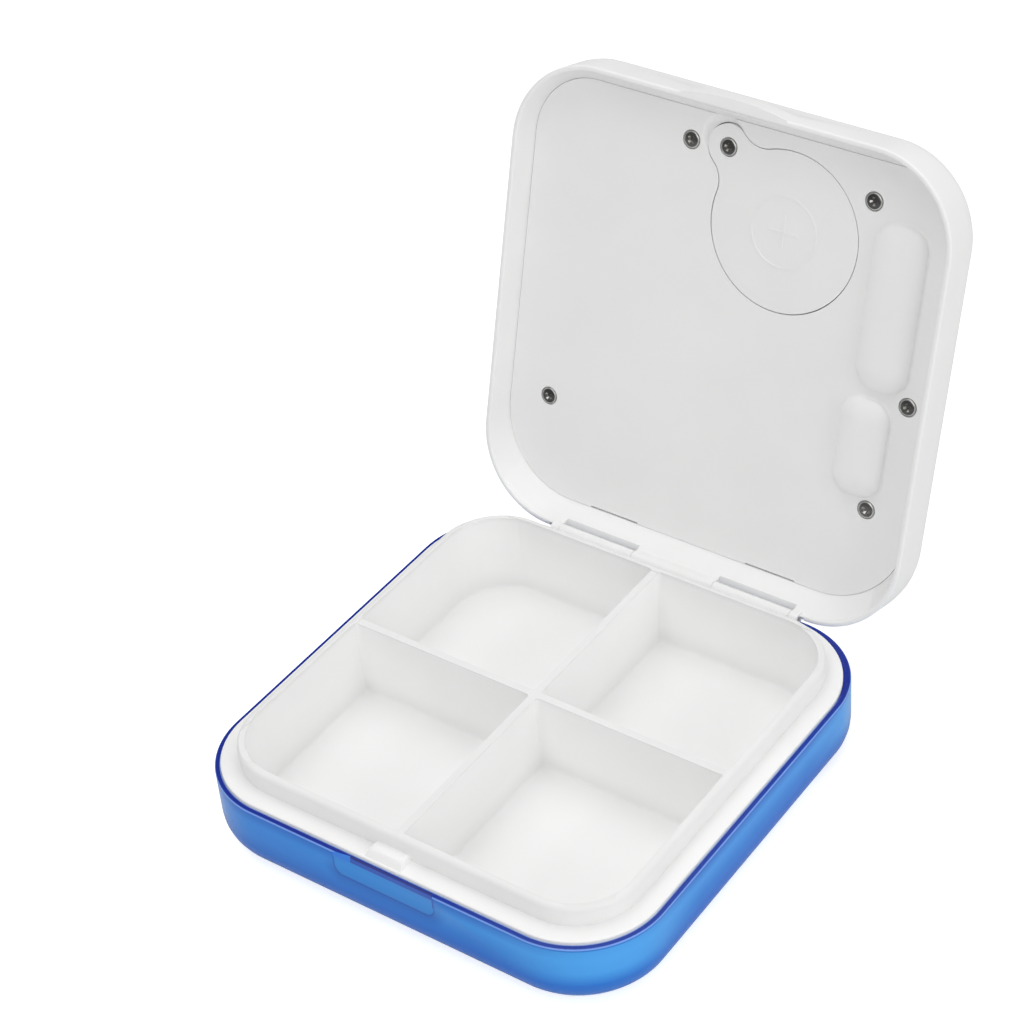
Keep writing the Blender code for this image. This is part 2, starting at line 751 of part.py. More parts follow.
def make_base():
    make_outer_shell()
    make_inner_tray()
    for side, label in ((-1, "left"), (1, "right")):
        piece("hinge_pin_" + label, pin_rod(side, 0, 0), "steel")


# Lid

def seam_plan(inset):
    """Outline of the seam between the lid's rim wall and its panel, drawn in by an inset."""
    plan = (HALF - SEAM_SIDE, SEAM_FRONT - HALF, HALF - SEAM_REAR, SEAM_CORNER_FRONT, SEAM_CORNER_REAR)
    return inset_plan(plan, inset)


def rim_recess():
    """Space that the tray's lip fills when the lid is shut, up to the panel's ledge."""
    rim = square_plan(RIM_LIP)
    land_z = LID_RIM_Z + REAR_LAND_RISE
    half_x, front, rear, corner_front, corner_rear = rim
    behind = (half_x, front, HALF - REAR_LAND, corner_front, corner_rear)
    return loft([
        (plan_points(rim), LID_RIM_Z - OVERRUN),
        (plan_points(rim), land_z),
        (plan_points(behind), land_z + WELD),
        (plan_points(seam_plan(0)), PANEL_Z),
        (plan_points(seam_plan(0)), PANEL_TOP_Z + GAP),
    ])


def screw_spots():
    """Places of the panel's screws, then of the door's."""
    return [spot(shares) for shares in PANEL_SCREW_SHARES] + [DOOR_SCREW_SPOT]


def boss(place):
    """Screw boss that hangs from the lid's top wall."""
    return upright(BOSS_RADIUS, place, PANEL_TOP_Z + TIGHT_GAP, LID_TOP_Z - LID_TOP_WALL + EMBED)


def battery_bay():
    """Ring wall round the coin cell, open towards the circuit board for the contacts."""
    x, y = CELL_SPOT
    inner = CELL_RADIUS + BAY_CLEARANCE
    outer = inner + BAY_WALL
    opening = math.asin(BAY_SLOT / 2 / inner)
    start = QUARTER_TURN + opening
    sweep = 4 * QUARTER_TURN - 2 * opening
    outline = corner_arc(x, y, outer, start, sweep, 6 * CORNER_STEPS)
    outline += reversed(corner_arc(x, y, inner, start, sweep, 6 * CORNER_STEPS))
    return flat_shape([outline], PANEL_TOP_Z + TIGHT_GAP, LID_TOP_Z - LID_TOP_WALL + EMBED)


def ear(low_x, high_x):
    """Hinge ear of the lid, from its rear land round the hinge axis."""
    y, z = HINGE_POINT.yz
    return cylinder(EAR_RADIUS, (low_x, y, z), (high_x, y, z))


def ear_root(low_x, high_x):
    """Root that ties an ear to the lid's rear wall."""
    low = (low_x + WELD, HALF - EAR_RADIUS + WELD, HINGE_POINT.z)
    high = (high_x - WELD, HALF - WELD, LID_RIM_Z + NOTCH_HEIGHT)
    return box(low, high)


def hinge_notch(side):
    """Notch in the lid's rear rim for a knuckle."""
    near = KNUCKLE_INNER - GAP
    far = KNUCKLE_INNER + KNUCKLE_WIDTH + GAP
    ends = sorted((side * near, side * far))
    return box(
        (ends[0], HALF - NOTCH_DEPTH, LID_RIM_Z - OVERRUN),
        (ends[1], HALF + OVERRUN, LID_RIM_Z + NOTCH_HEIGHT))


def thumb_lip():
    """Shallow bulge of the front rim for a fingertip, a slice of a wide circle."""
    half_chord = BULGE_LIP_WIDTH / 2
    radius = (half_chord ** 2 + BULGE_LIP_REACH ** 2) / (2 * BULGE_LIP_REACH)
    half_angle = math.asin(half_chord / radius)
    centre_y = -HALF - BULGE_LIP_REACH + radius
    start = 3 * QUARTER_TURN - half_angle
    outline = corner_arc(0, centre_y, radius, start, 2 * half_angle, 2 * CORNER_STEPS)
    outline += [(half_chord, EMBED - HALF), (-half_chord, EMBED - HALF)]
    return flat_shape([outline], LID_RIM_Z, LID_RIM_Z + BULGE_LIP_HEIGHT)


def make_lid_shell(lid):
    outer = square_plan(0)
    block = plan_block(outer, outer, LID_RIM_Z, LID_TOP_Z, high_round=LID_EDGE_ROUND)
    shell = piece("lid_shell", block, "white_plastic", lid)
    join(shell, "thumb_lip", thumb_lip(), lid)
    cut(shell, "rim_recess", rim_recess(), lid)
    room = seam_plan(PANEL_LEDGE)
    cut(shell, "inner_room", plan_block(
        room, room, PANEL_TOP_Z - OVERRUN, LID_TOP_Z - LID_TOP_WALL, high_round=INNER_ROUND), lid)
    cut(shell, "latch_recess", box(
        (-LATCH_WIDTH / 2, -HALF + LIP_INSET - CATCH_REACH - GAP, LID_RIM_Z - OVERRUN),
        (LATCH_WIDTH / 2, -HALF + LIP_INSET, LID_RIM_Z + LATCH_HEIGHT)), lid)
    join(shell, "screw_bosses", combined([boss(place) for place in screw_spots()]), lid)
    join(shell, "battery_bay", battery_bay(), lid)
    cut(shell, "hinge_notches", combined([hinge_notch(side) for side in (-1, 1)]), lid)
    join(shell, "ears", combined([ear(*span) for span in ear_spans()]), lid)
    join(shell, "ear_roots", combined([ear_root(*span) for span in ear_spans()]), lid)
    cut(shell, "ear_holes", combined([pin_rod(side, RUNNING_GAP, OVERRUN) for side in (-1, 1)]), lid)
    cut(shell, "openings", combined(lid_openings()), lid)
    cut_cross(shell, "shallow_cross", CROSS_ARM, CROSS_LENGTH, spot(CROSS_SPOT_SHARES),
              LID_TOP_Z - CROSS_DEPTH, LID_TOP_Z + OVERRUN, lid)
    cut(shell, "window_frame", window_frame(), lid)
    flange = 2 * (WINDOW_FLANGE + FINE_GAP)
    cut(shell, "window_room", flat_shape([rectangle_points(
        WINDOW_WIDTH + flange, WINDOW_DEPTH + flange, spot(WINDOW_SPOT_SHARES), WINDOW_CORNER)],
        LID_TOP_Z - LID_TOP_WALL - OVERRUN, LID_TOP_Z - WINDOW_SUNK + FINE_GAP), lid)


def lid_openings():
    """Holes of the lid's top wall and of its bosses."""
    top = LID_TOP_Z + OVERRUN
    under = LID_TOP_Z - LID_TOP_WALL - OVERRUN
    shapes = [flat_shape([rectangle_points(
        WINDOW_WIDTH, WINDOW_DEPTH, spot(WINDOW_SPOT_SHARES), WINDOW_CORNER)], under, top)]
    hole_width = BUTTON_WIDTH + 2 * TIGHT_GAP
    hole_depth = BUTTON_DEPTH + 2 * TIGHT_GAP
    for share in BUTTON_SHARES:
        outline = stadium_points(hole_width, hole_depth, spot((share, BUTTON_ROW_SHARE)))
        shapes.append(flat_shape([outline], under, top))
    shapes.append(upright(LED_HOLE, spot(LED_SPOT_SHARES), under, top))
    hole_top = PANEL_Z - HEAD_PROUD + HEAD_THICKNESS + SHANK_LENGTH + GAP
    hole_low = PANEL_TOP_Z - OVERRUN
    bore = SHANK_RADIUS + RUNNING_GAP
    for place in screw_spots():
        shapes.append(upright(bore, place, hole_low, hole_top, SMALL_SIDES))
    return shapes


def window_frame():
    """Sloped frame round the display's opening."""
    centre = spot(WINDOW_SPOT_SHARES)
    sections = []
    for rise, grow in ((-FRAME_DEPTH, 0), (FRAME_DEPTH / 2, FRAME_WIDTH * 3 / 2)):
        outline = rectangle_points(
            WINDOW_WIDTH + 2 * grow, WINDOW_DEPTH + 2 * grow, centre, WINDOW_CORNER + grow)
        sections.append((outline, LID_TOP_Z + rise))
    return loft(sections)


def pocket_plan(width, length, corner, centre, grow=0):
    return rectangle_points(width + 2 * grow, length + 2 * grow, centre, corner + grow)


def pocket_shape(width, length, corner, centre, low, high, low_round):
    """Bulge of the panel towards the tray, with its lower edge rounded over."""
    sections = []
    for k in range(EDGE_STEPS + 1):
        angle = k / EDGE_STEPS * QUARTER_TURN
        outline = pocket_plan(width, length, corner, centre, -low_round * (1 - math.sin(angle)))
        sections.append((outline, low + low_round * (1 - math.cos(angle))))
    sections.append((pocket_plan(width, length, corner, centre), high))
    return loft(sections)


def counterbore(place):
    """Round recess of the inner face for a screw's head."""
    low = PANEL_Z - OVERRUN
    return upright(HEAD_RADIUS + TIGHT_GAP, place, low, PANEL_Z + COUNTERBORE_DEPTH)


def screw_bore(place):
    """Hole through the inner face for a screw's shank."""
    high = PANEL_TOP_Z + OVERRUN
    return upright(SHANK_RADIUS + FINE_GAP, place, PANEL_Z, high, SMALL_SIDES)


POCKETS = (
    (MOTOR_POCKET_WIDTH, MOTOR_POCKET_LENGTH, MOTOR_POCKET_CORNER, MOTOR_POCKET_SPOT),
    (CAP_POCKET_WIDTH, CAP_POCKET_LENGTH, CAP_POCKET_CORNER, CAP_POCKET_SPOT),
)


def make_lid_panel(lid):
    plan = seam_plan(PANEL_SEAM)
    panel = piece("lid_panel", plan_block(plan, plan, PANEL_Z, PANEL_TOP_Z), "white_plastic", lid)
    lowest = PANEL_Z - POCKET_DEPTH
    bulges = [pocket_shape(*sizes, lowest, PANEL_Z + EMBED, POCKET_ROUND) for sizes in POCKETS]
    join(panel, "pocket_bulges", combined(bulges), lid)
    hollows = []
    for width, length, corner, centre in POCKETS:
        inside = (width - 2 * POCKET_WALL, length - 2 * POCKET_WALL, corner - POCKET_WALL, centre)
        high = PANEL_TOP_Z + OVERRUN
        hollows.append(pocket_shape(*inside, lowest + POCKET_WALL, high, POCKET_ROUND - EMBED))
    cut(panel, "pocket_hollows", combined(hollows), lid)
    cut(panel, "door_opening", flat_shape(
        [door_points(PANEL_SEAM)], PANEL_Z - OVERRUN, PANEL_TOP_Z + OVERRUN), lid)
    pry_spot = (DOOR_SCREW_SPOT[0] - PRY_SHIFT_X, DOOR_SCREW_SPOT[1] - PRY_SHIFT_Y)
    cut(panel, "pry_recess", upright(PRY_RADIUS, pry_spot, PANEL_Z - OVERRUN, PANEL_Z + PRY_DEPTH), lid)
    places = screw_spots()[:-1]
    cut(panel, "counterbores", combined([counterbore(place) for place in places]), lid)
    cut(panel, "screw_bores", combined([screw_bore(place) for place in places]), lid)
    rear = HALF - SEAM_REAR
    slots = []
    for side in (-1, 1):
        middle = side * SLOT_SPOT_SHARE * HALF
        slots.append(box(
            (middle - SLOT_WIDTH / 2, rear - SLOT_DEPTH, PANEL_Z - OVERRUN),
            (middle + SLOT_WIDTH / 2, rear + OVERRUN, PANEL_TOP_Z + OVERRUN)))
    cut(panel, "rear_slots", combined(slots), lid)


def make_screw(name, place_on_plan, lid):
    """Pan head screw with a cross recess, its head towards the tray."""
    head_z = PANEL_Z - HEAD_PROUD
    profile = [
        (0, HEAD_THICKNESS + SHANK_LENGTH),
        (SHANK_RADIUS / 2, HEAD_THICKNESS + SHANK_LENGTH),
        (SHANK_RADIUS, HEAD_THICKNESS + SHANK_LENGTH - SHANK_RADIUS),
        (SHANK_RADIUS, HEAD_THICKNESS),
        (HEAD_RADIUS, HEAD_THICKNESS),
        (HEAD_RADIUS, HEAD_ROUND),
        (HEAD_RADIUS - HEAD_ROUND, 0),
        (0, 0),
    ]
    screw = turned(name, profile, "dark_steel", lid, (*place_on_plan, head_z))
    cut_cross(screw, name + "_recess", RECESS_ARM, RECESS_LENGTH, place_on_plan,
              head_z - OVERRUN, head_z + RECESS_DEPTH, lid)


def make_battery_parts(lid):
    door = piece("battery_door", flat_shape([door_points(0)], PANEL_Z, PANEL_TOP_Z), "white_plastic", lid)
    cut(door, "door_counterbore", counterbore(DOOR_SCREW_SPOT), lid)
    cut(door, "door_bore", screw_bore(DOOR_SCREW_SPOT), lid)
    make_screw("battery_door_screw", DOOR_SCREW_SPOT, lid)
    low = PANEL_TOP_Z + GAP
    high = low + CELL_THICKNESS
    cell = piece("coin_cell", upright(
        CELL_RADIUS, CELL_SPOT, low, high - CELL_STEP, 2 * ROUND_SIDES), "steel", lid)
    join(cell, "cell_step", upright(
        CELL_RADIUS - CELL_RIM, CELL_SPOT, low + CELL_STEP, high, 2 * ROUND_SIDES), lid)
    make_contacts(high, lid)


def make_contacts(cell_top, lid):
    """Sheet metal contacts: one against the cell's rim, and one over its top."""
    x, y = CELL_SPOT
    board_edge = BOARD_STEP_Y_SHARE * HALF
    leaf_y = y + CELL_RADIUS + GAP
    foot_y = max(board_edge, y + CELL_RADIUS + BAY_CLEARANCE + BAY_WALL + GAP) + CONTACT_FOOT
    wall = CONTACT_WALL
    low = PART_Z
    high = cell_top - 2 * CELL_STEP
    rim_outline = [
        (leaf_y, high), (leaf_y, low), (foot_y, low), (foot_y, low + wall),
        (leaf_y + wall, low + wall), (leaf_y + wall, high),
    ]
    rim_x = x - CONTACT_WIDTH / 2
    piece("battery_contact_rim", side_shape(rim_outline, rim_x, rim_x + CONTACT_WIDTH), "brass", lid)
    strip_low = cell_top + wall / 2
    far_y = foot_y + CONTACT_FOOT
    top_outline = [
        (y, strip_low), (foot_y + GAP, strip_low), (foot_y + GAP, low), (far_y, low), (far_y, low + wall),
        (foot_y + GAP + wall, low + wall), (foot_y + GAP + wall, strip_low + wall), (y, strip_low + wall),
    ]
    piece("battery_contact_top", side_shape(top_outline, rim_x, rim_x + CONTACT_WIDTH), "brass", lid)


def make_board(lid):
    left, right, front, rear, step_x, step_y = [share * HALF for share in (
        BOARD_LEFT_SHARE, BOARD_RIGHT_SHARE, BOARD_FRONT_SHARE, BOARD_REAR_SHARE,
        BOARD_STEP_X_SHARE, BOARD_STEP_Y_SHARE)]
    r = BOARD_ROUND
    outline = corner_arc(right - r, rear - r, r, 0) + corner_arc(left + r, rear - r, r, QUARTER_TURN)
    outline += corner_arc(left + r, front + r, r, 2 * QUARTER_TURN)
    outline += [(step_x, front), (step_x, step_y), (right, step_y)]
    board = piece("circuit_board", flat_shape([outline], BOARD_Z, BOARD_TOP_Z), "board_green", lid)
    low = BOARD_Z - OVERRUN
    high = BOARD_TOP_Z + OVERRUN
    bay = CELL_RADIUS + BAY_CLEARANCE + BAY_WALL + GAP
    cut(board, "bay_cutout", upright(bay, CELL_SPOT, low, high, 2 * ROUND_SIDES), lid)
    cut(board, "boss_hole", upright(BOSS_RADIUS + GAP, spot(PANEL_SCREW_SHARES[2]), low, high), lid)


def make_board_parts(lid):
    piece("processor_chip", upright(
        CHIP_RADIUS, spot(CHIP_SPOT_SHARES), PART_Z, PART_Z + CHIP_HEIGHT, end_radius=CHIP_RADIUS / 2),
        "black_plastic", lid)
    x, y = spot(CRYSTAL_SPOT_SHARES)
    z = PART_Z + CRYSTAL_RADIUS
    ends = [(x, y + side * CRYSTAL_LENGTH / 2, z) for side in (-1, 1)]
    piece("clock_crystal", cylinder(CRYSTAL_RADIUS, *ends, SMALL_SIDES), "steel", lid)
    buzzer_spot = spot(BUZZER_SPOT_SHARES)
    buzzer_top = PART_Z + BUZZER_HEIGHT
    can = upright(BUZZER_RADIUS, buzzer_spot, PART_Z, buzzer_top)
    buzzer = piece("alarm_buzzer", can, "black_plastic", lid)
    cut(buzzer, "buzzer_hole", upright(
        BUZZER_HOLE, buzzer_spot, buzzer_top - BUZZER_HOLE_DEPTH, buzzer_top + OVERRUN, SMALL_SIDES), lid)
    led_spot = spot(LED_SPOT_SHARES)
    led = piece("alarm_led", upright(
        LED_BASE, led_spot, PART_Z, PART_Z + LED_BASE_HEIGHT), "led_lens", lid)
    join(led, "led_stem", upright(
        LED_STEM, led_spot, PART_Z + EMBED, LID_TOP_Z - LED_SUNK, end_radius=LED_STEM - LED_STEM / 4), lid)
    for label, share in zip(BUTTON_LABELS, BUTTON_SHARES):
        make_switch(label + "_switch", (share, BUTTON_ROW_SHARE), lid)


def make_switch(name, shares, lid):
    """Tact switch under a button."""
    x, y = spot(shares)
    half = SWITCH_SIDE / 2
    body_top = PART_Z + SWITCH_HEIGHT
    body = box((x - half, y - half, PART_Z), (x + half, y + half, body_top))
    switch = piece(name, body, "black_plastic", lid)
    join(switch, name + "_plunger", upright(
        PLUNGER_RADIUS, (x, y), body_top - EMBED, body_top + PLUNGER_HEIGHT, SMALL_SIDES), lid)


def make_motor(lid):
    """Vibration motor in the long pocket, with its shaft and eccentric weight."""
    x, y = MOTOR_POCKET_SPOT
    z = PANEL_Z - POCKET_DEPTH + POCKET_WALL + GAP + MOTOR_RADIUS
    front = y - MOTOR_POCKET_LENGTH / 2 + POCKET_WALL + MOTOR_END_GAP
    back = front + MOTOR_LENGTH
    motor = piece("vibration_motor", cylinder(MOTOR_RADIUS, (x, front, z), (x, back, z)), "steel", lid)
    shaft_start = back - SHAFT_LENGTH / 4
    bore_ends = ((x, shaft_start - GAP, z), (x, back + OVERRUN, z))
    cut(motor, "shaft_bore", cylinder(SHAFT_RADIUS + RUNNING_GAP, *bore_ends, SMALL_SIDES), lid)
    rotor = hinge_empty("motor_axis", (x, back, z), lid)
    piece("motor_shaft", cylinder(
        SHAFT_RADIUS, (x, shaft_start, z), (x, shaft_start + SHAFT_LENGTH, z), SMALL_SIDES),
        "steel", rotor, (x, back, z))
    start = back + WEIGHT_START
    end = start + WEIGHT_LENGTH
    weight = piece("motor_weight", half_disc(x, z, start, end), "brass", rotor, (x, back, z))
    join(weight, "weight_hub", cylinder(WEIGHT_HUB, (x, start, z), (x, end, z), SMALL_SIDES), rotor)
    cut(weight, "weight_bore", cylinder(
        SHAFT_RADIUS + RUNNING_GAP, (x, start - OVERRUN, z), (x, end + OVERRUN, z), SMALL_SIDES), rotor)


def half_disc(x, z, start, end):
    """Heavy half of the motor's weight, which hangs towards the lid's top."""
    outline = corner_arc(x, z, WEIGHT_RADIUS, 0, 2 * QUARTER_TURN, 2 * CORNER_STEPS)
    shape = flat_shape([outline], start, end)
    turn = Matrix(((1, 0, 0, 0), (0, 0, 1, 0), (0, 1, 0, 0), (0, 0, 0, 1)))
    bmesh.ops.transform(shape, matrix=turn, verts=shape.verts)
    bmesh.ops.recalc_face_normals(shape, faces=shape.faces)
    return shape


def make_capacitor(lid):
    """Capacitor that lies in the short pocket and fills the height under the display's glass."""
    x, y = CAP_POCKET_SPOT
    lowest = PANEL_Z - POCKET_DEPTH + POCKET_WALL + GAP
    r = (GLASS_LOW_Z - GAP - lowest) / 2
    z = lowest + r
    low = y - CAPACITOR_LENGTH / 2
    high = y + CAPACITOR_LENGTH / 2
    groove = CAPACITOR_GROOVE
    profile = [
        (0, high - low), (r - groove, high - low), (r, high - low - groove), (r, 4 * groove),
        (r - groove, 3 * groove), (r, 2 * groove), (r, groove), (r - groove, 0), (0, 0),
    ]
    capacitor = turned("capacitor", profile, "black_plastic", lid, (x, low, z))
    capacitor.rotation_euler.x = -QUARTER_TURN


def make_display(lid):
    centre = spot(WINDOW_SPOT_SHARES)
    window_top = LID_TOP_Z - WINDOW_SUNK
    window_low = window_top - WINDOW_WALL
    flange = 2 * WINDOW_FLANGE
    piece("display_window", flat_shape([rectangle_points(
        WINDOW_WIDTH + flange, WINDOW_DEPTH + flange, centre, WINDOW_CORNER)], window_low, window_top),
        "clear_window", lid)
    glass_half = WINDOW_WIDTH / 2 + GLASS_MARGIN
    glass_depth = WINDOW_DEPTH + 2 * GLASS_MARGIN
    piece("lcd_glass", flat_shape([rectangle_points(
        2 * glass_half, glass_depth, centre, WINDOW_CORNER)], GLASS_LOW_Z, GLASS_TOP_Z), "display_glass", lid)
    low_x = max(centre[0] - glass_half, BOARD_LEFT_SHARE * HALF) + STRIP_END_GAP
    high_x = min(centre[0] + glass_half, BOARD_RIGHT_SHARE * HALF) - STRIP_END_GAP
    for side, label in ((-1, "front"), (1, "rear")):
        y = centre[1] + side * (glass_depth / 2 - STRIP_INSET)
        low = (low_x, y - STRIP_WIDTH / 2, PART_Z)
        high = (high_x, y + STRIP_WIDTH / 2, GLASS_LOW_Z - TIGHT_GAP)
        piece("lcd_connector_" + label, box(low, high), "connector_rubber", lid)


def make_button(label, share, lid):
    """Push button: a cap in the lid's top wall, with a flange behind the wall."""
    centre = spot((share, BUTTON_ROW_SHARE))
    plunger_top = PART_Z + SWITCH_HEIGHT + PLUNGER_HEIGHT
    low = plunger_top + BUTTON_TRAVEL + BUTTON_FREE_PLAY
    axis = hinge_empty(label + "_button_axis", (*centre, low), lid)
    cap_top = LID_TOP_Z + BUTTON_PROUD
    sections = [(stadium_points(BUTTON_WIDTH, BUTTON_DEPTH, centre), low + BUTTON_FLANGE_WALL / 2)]
    for k in range(EDGE_STEPS, -1, -1):
        angle = k / EDGE_STEPS * QUARTER_TURN
        inset = 2 * BUTTON_ROUND * (1 - math.sin(angle))
        outline = stadium_points(BUTTON_WIDTH - inset, BUTTON_DEPTH - inset, centre)
        sections.append((outline, cap_top - BUTTON_ROUND * (1 - math.cos(angle))))
    button = piece(label + "_button", loft(sections), "white_plastic", axis, (*centre, low))
    grow = 2 * BUTTON_FLANGE
    join(button, label + "_button_flange", flat_shape([stadium_points(
        BUTTON_WIDTH + grow, BUTTON_DEPTH + grow, centre)], low, low + BUTTON_FLANGE_WALL), axis)


def make_lid():
    lid = hinge_empty("lid_hinge_axis", HINGE_POINT)
    make_lid_shell(lid)
    make_lid_panel(lid)
    for number, shares in enumerate(PANEL_SCREW_SHARES, 1):
        make_screw("panel_screw_" + str(number), spot(shares), lid)
    make_battery_parts(lid)
    make_board(lid)
    make_board_parts(lid)
    make_motor(lid)
    make_capacitor(lid)
    make_display(lid)
    for label, share in zip(BUTTON_LABELS, BUTTON_SHARES):
        make_button(label, share, lid)
    lid.rotation_euler.x = -OPEN_ANGLE


empty_scene()
PARTS = new_collection("pill_box_with_timer")
CUTTERS = new_collection("cutters")
make_base()
make_lid()
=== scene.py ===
"""Looks of the pill box with timer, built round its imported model.

Metres, in the model's own frame. The fine pieces are drawn closed, over the base, as the solids are,
and the lid's pieces are then turned open round the hinge. Shares of places are shares of half the
box's width.
"""
import json
import math

import bmesh
import bpy
from mathutils import Matrix, Vector


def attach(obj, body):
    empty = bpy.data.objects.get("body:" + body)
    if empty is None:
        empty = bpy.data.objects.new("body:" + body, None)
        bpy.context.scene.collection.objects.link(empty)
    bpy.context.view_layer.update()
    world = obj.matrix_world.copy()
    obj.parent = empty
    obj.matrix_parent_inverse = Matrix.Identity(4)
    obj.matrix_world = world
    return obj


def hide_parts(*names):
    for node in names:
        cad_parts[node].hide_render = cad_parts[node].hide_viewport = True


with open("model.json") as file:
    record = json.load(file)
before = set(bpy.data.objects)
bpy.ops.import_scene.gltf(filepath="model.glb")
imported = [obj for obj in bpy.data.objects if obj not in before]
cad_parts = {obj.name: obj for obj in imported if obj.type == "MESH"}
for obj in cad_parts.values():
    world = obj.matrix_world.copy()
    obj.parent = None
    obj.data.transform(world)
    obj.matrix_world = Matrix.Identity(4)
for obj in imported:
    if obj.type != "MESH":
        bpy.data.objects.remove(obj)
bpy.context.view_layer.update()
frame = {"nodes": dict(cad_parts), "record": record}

# Overall sizes
WIDTH = 0.068
HALF = WIDTH / 2
CORNER = 0.0126
BASE_HEIGHT = 0.011
LID_RIM_Z = 0.0112
LID_TOP_Z = 0.0211
OPEN_ANGLE = math.radians(106.2)
HINGE_POINT = Vector((0, HALF, 0.0111))
LID_TURN = (Matrix.Translation(HINGE_POINT) @ Matrix.Rotation(-OPEN_ANGLE, 4, "X")
            @ Matrix.Translation(-HINGE_POINT))

# Clearances and fineness
GAP = 0.0003
FINE_GAP = 0.0002
TIGHT_GAP = 0.00015
RUNNING_GAP = 0.00007
OVERRUN = 0.001
EMBED = 0.0002
WELD = 0.000001
QUARTER_TURN = math.pi / 2
CORNER_STEPS = 24
EDGE_STEPS = 8
ROUND_SIDES = 64
SMOOTH_ANGLE = math.radians(32)
LEVEL_NORMAL = 0.9
CUT = "DIFFERENCE"
JOIN = "UNION"

# Base; each step of the scoop is a drop below the rim and a share of its depth
SHELL_EDGE_ROUND = 0.0045
SHELL_FLOOR = 0.0012
SHELL_WALL = 0.002
RIM_ROUND = 0.00016
RIM_WALL = 0.00075
RIM_LINE = 0.00014
SEAT_DROP = 0.0008
SCOOP_WIDTH = 0.0158
SCOOP_DEPTH = 0.00045
SCOOP_RAMP = 0.0026
SCOOP_EDGE = 0.0004
SCOOP_HEIGHT = 0.0033
# Painted light and shade of the scoop: its height, corner, edge line, shade below and reach into the wall.
PATCH_HEIGHT = 0.0038
PATCH_ROUND = 0.0014
PATCH_EDGE = 0.00025
PATCH_SHADE = 0.002
PATCH_REACH = 0.0012
SCOOP_STEPS = ((0, 1), (0.00035, 0.85), (0.00095, 0.5), (0.0022, 0.5))
FLANGE_Z = 0.0115
FLANGE_GAP = 0.00004
FLANGE_THICKNESS = 0.001
LIP_Z = 0.01465
LIP_INSET = 0.0033
LIP_WALL = 0.001
LIP_ROUND = 0.0008
TRAY_UNDER_Z = 0.0015
TRAY_FLOOR_Z = 0.0027
TRAY_EDGE_ROUND = 0.0016
TRAY_DRAFT = 0.0008
DIVIDER_WALL = 0.001
DIVIDER_DRAFT = 0.0003
DIVIDER_SHIFT = 0.00025
DIVIDER_DROP = 0.00015
WALL_FADE = 0.003
FLOOR_FILLET = 0.0004
POCKET_CORNER = 0.0005
CATCH_WIDTH = 0.0052
CATCH_SHIFT = -0.0006
CATCH_RISE = 0.0015
CATCH_REACH = 0.0015
CATCH_SLOPE = 0.0009
CATCH_ROUND = 0.0005
TAB_WIDTH = 0.006
TAB_HEIGHT = 0.0019
TAB_DROP = 0.0007
TAB_REACH = 0.0007
TAB_SHIFT = -0.001

# Hinge
KNUCKLE_RADIUS = 0.00095
KNUCKLE_INNER = 0.007
KNUCKLE_OUTER = 0.01885
EAR_RADIUS = 0.00095
EAR_WIDTH = 0.0013
PIN_RADIUS = 0.00045
PIN_REACH = 0.00065
KNUCKLE_END_GAP = 0.00006
ARM_ROOM = 0.0014
NOTCH_DEPTH = 0.0018
NOTCH_HEIGHT = 0.0017

# Lid
LID_EDGE_ROUND = 0.0048
LID_TOP_WALL = 0.0011
RIM_LIP = 0.0008
LID_RIM_ROUND = 0.0003
REAR_LAND_RISE = 0.0006
SEAM_SIDE = 0.0014
SEAM_FRONT = 0.00285
SEAM_REAR = 0.00303
SEAM_CORNER_FRONT = 0.0092
SEAM_CORNER_REAR = 0.0122
PANEL_LEDGE = 0.0005
INNER_ROUND = 0.003
BULGE_LIP_WIDTH = 0.0162
BULGE_LIP_REACH = 0.00085
BULGE_LIP_HEIGHT = 0.003
BULGE_LIP_ROUND = 0.000595
LATCH_WIDTH = 0.0072
LATCH_HEIGHT = 0.002
CROSS_ARM = 0.00536
CROSS_LENGTH = 0.0162
CROSS_DEPTH = 0.0002
CROSS_SLOPE = 0.0003
CROSS_SPOT_SHARES = (0.618, -0.615)

# Lid panel; each pocket has a width, a length, a corner radius and a place
PANEL_Z = 0.0151
PANEL_TOP_Z = 0.016
PANEL_SEAM = 0.00006
DOOR_SEAM = 0.00013
POCKET_WALL = 0.0007
POCKET_DEPTH = 0.0016
POCKET_ROUND = 0.0014
SWELL_SHARE = 0.95
SWELL_CROWN = 0.0001
SWELL_FOOT = 0.00035
SLOT_WIDTH = 0.008
SLOT_DEPTH = 0.0003
SLOT_SUNK = 0.0004
SLOT_SPOT_SHARE = 0.382
POCKETS = (
    (0.0078, 0.0231, 0.0032, (0.025296, -0.012053)),
    (0.0073, 0.014, 0.0028, (0.0239496, 0.00799)),
)

# Screws
HEAD_RADIUS = 0.0012
HEAD_THICKNESS = 0.0005
HEAD_PROUD = 0.00015
HEAD_DOME = 0.00022
HEAD_EDGE = 0.0003
DOME_ANGLES = (2, 20, 35, 50, 58, 68, 78, 87)
# Painted glint ring: shares of the head's radius between which the head takes the lighter steel.
GLINT_RING_SHARES = (0.86, 1.01)
SHANK_RADIUS = 0.00055
SHANK_LENGTH = 0.0032
TIP_RADIUS = 0.00011
THREAD_PITCH = 0.0004
THREAD_CORE = 0.00044
THREAD_SHARES = (-0.15, 0.2, 0.5)
RECESS_DEPTH = 0.00034
RECESS_MOUTH = (0.00165, 0.000528)
RECESS_FLOOR = (0.0006, 0.000176)
RECESS_SHARE = 0.8
PANEL_SCREW_TURN = 0.7
DOOR_SCREW_TURN = 0.25
BOSS_RADIUS = 0.0017
COUNTERBORE_DEPTH = 0.00055
PANEL_SCREW_SHARES = (
    (-0.228, -0.785), (0.597, -0.75), (-0.765, 0.479), (0.871, 0.0165), (0.765, 0.491))

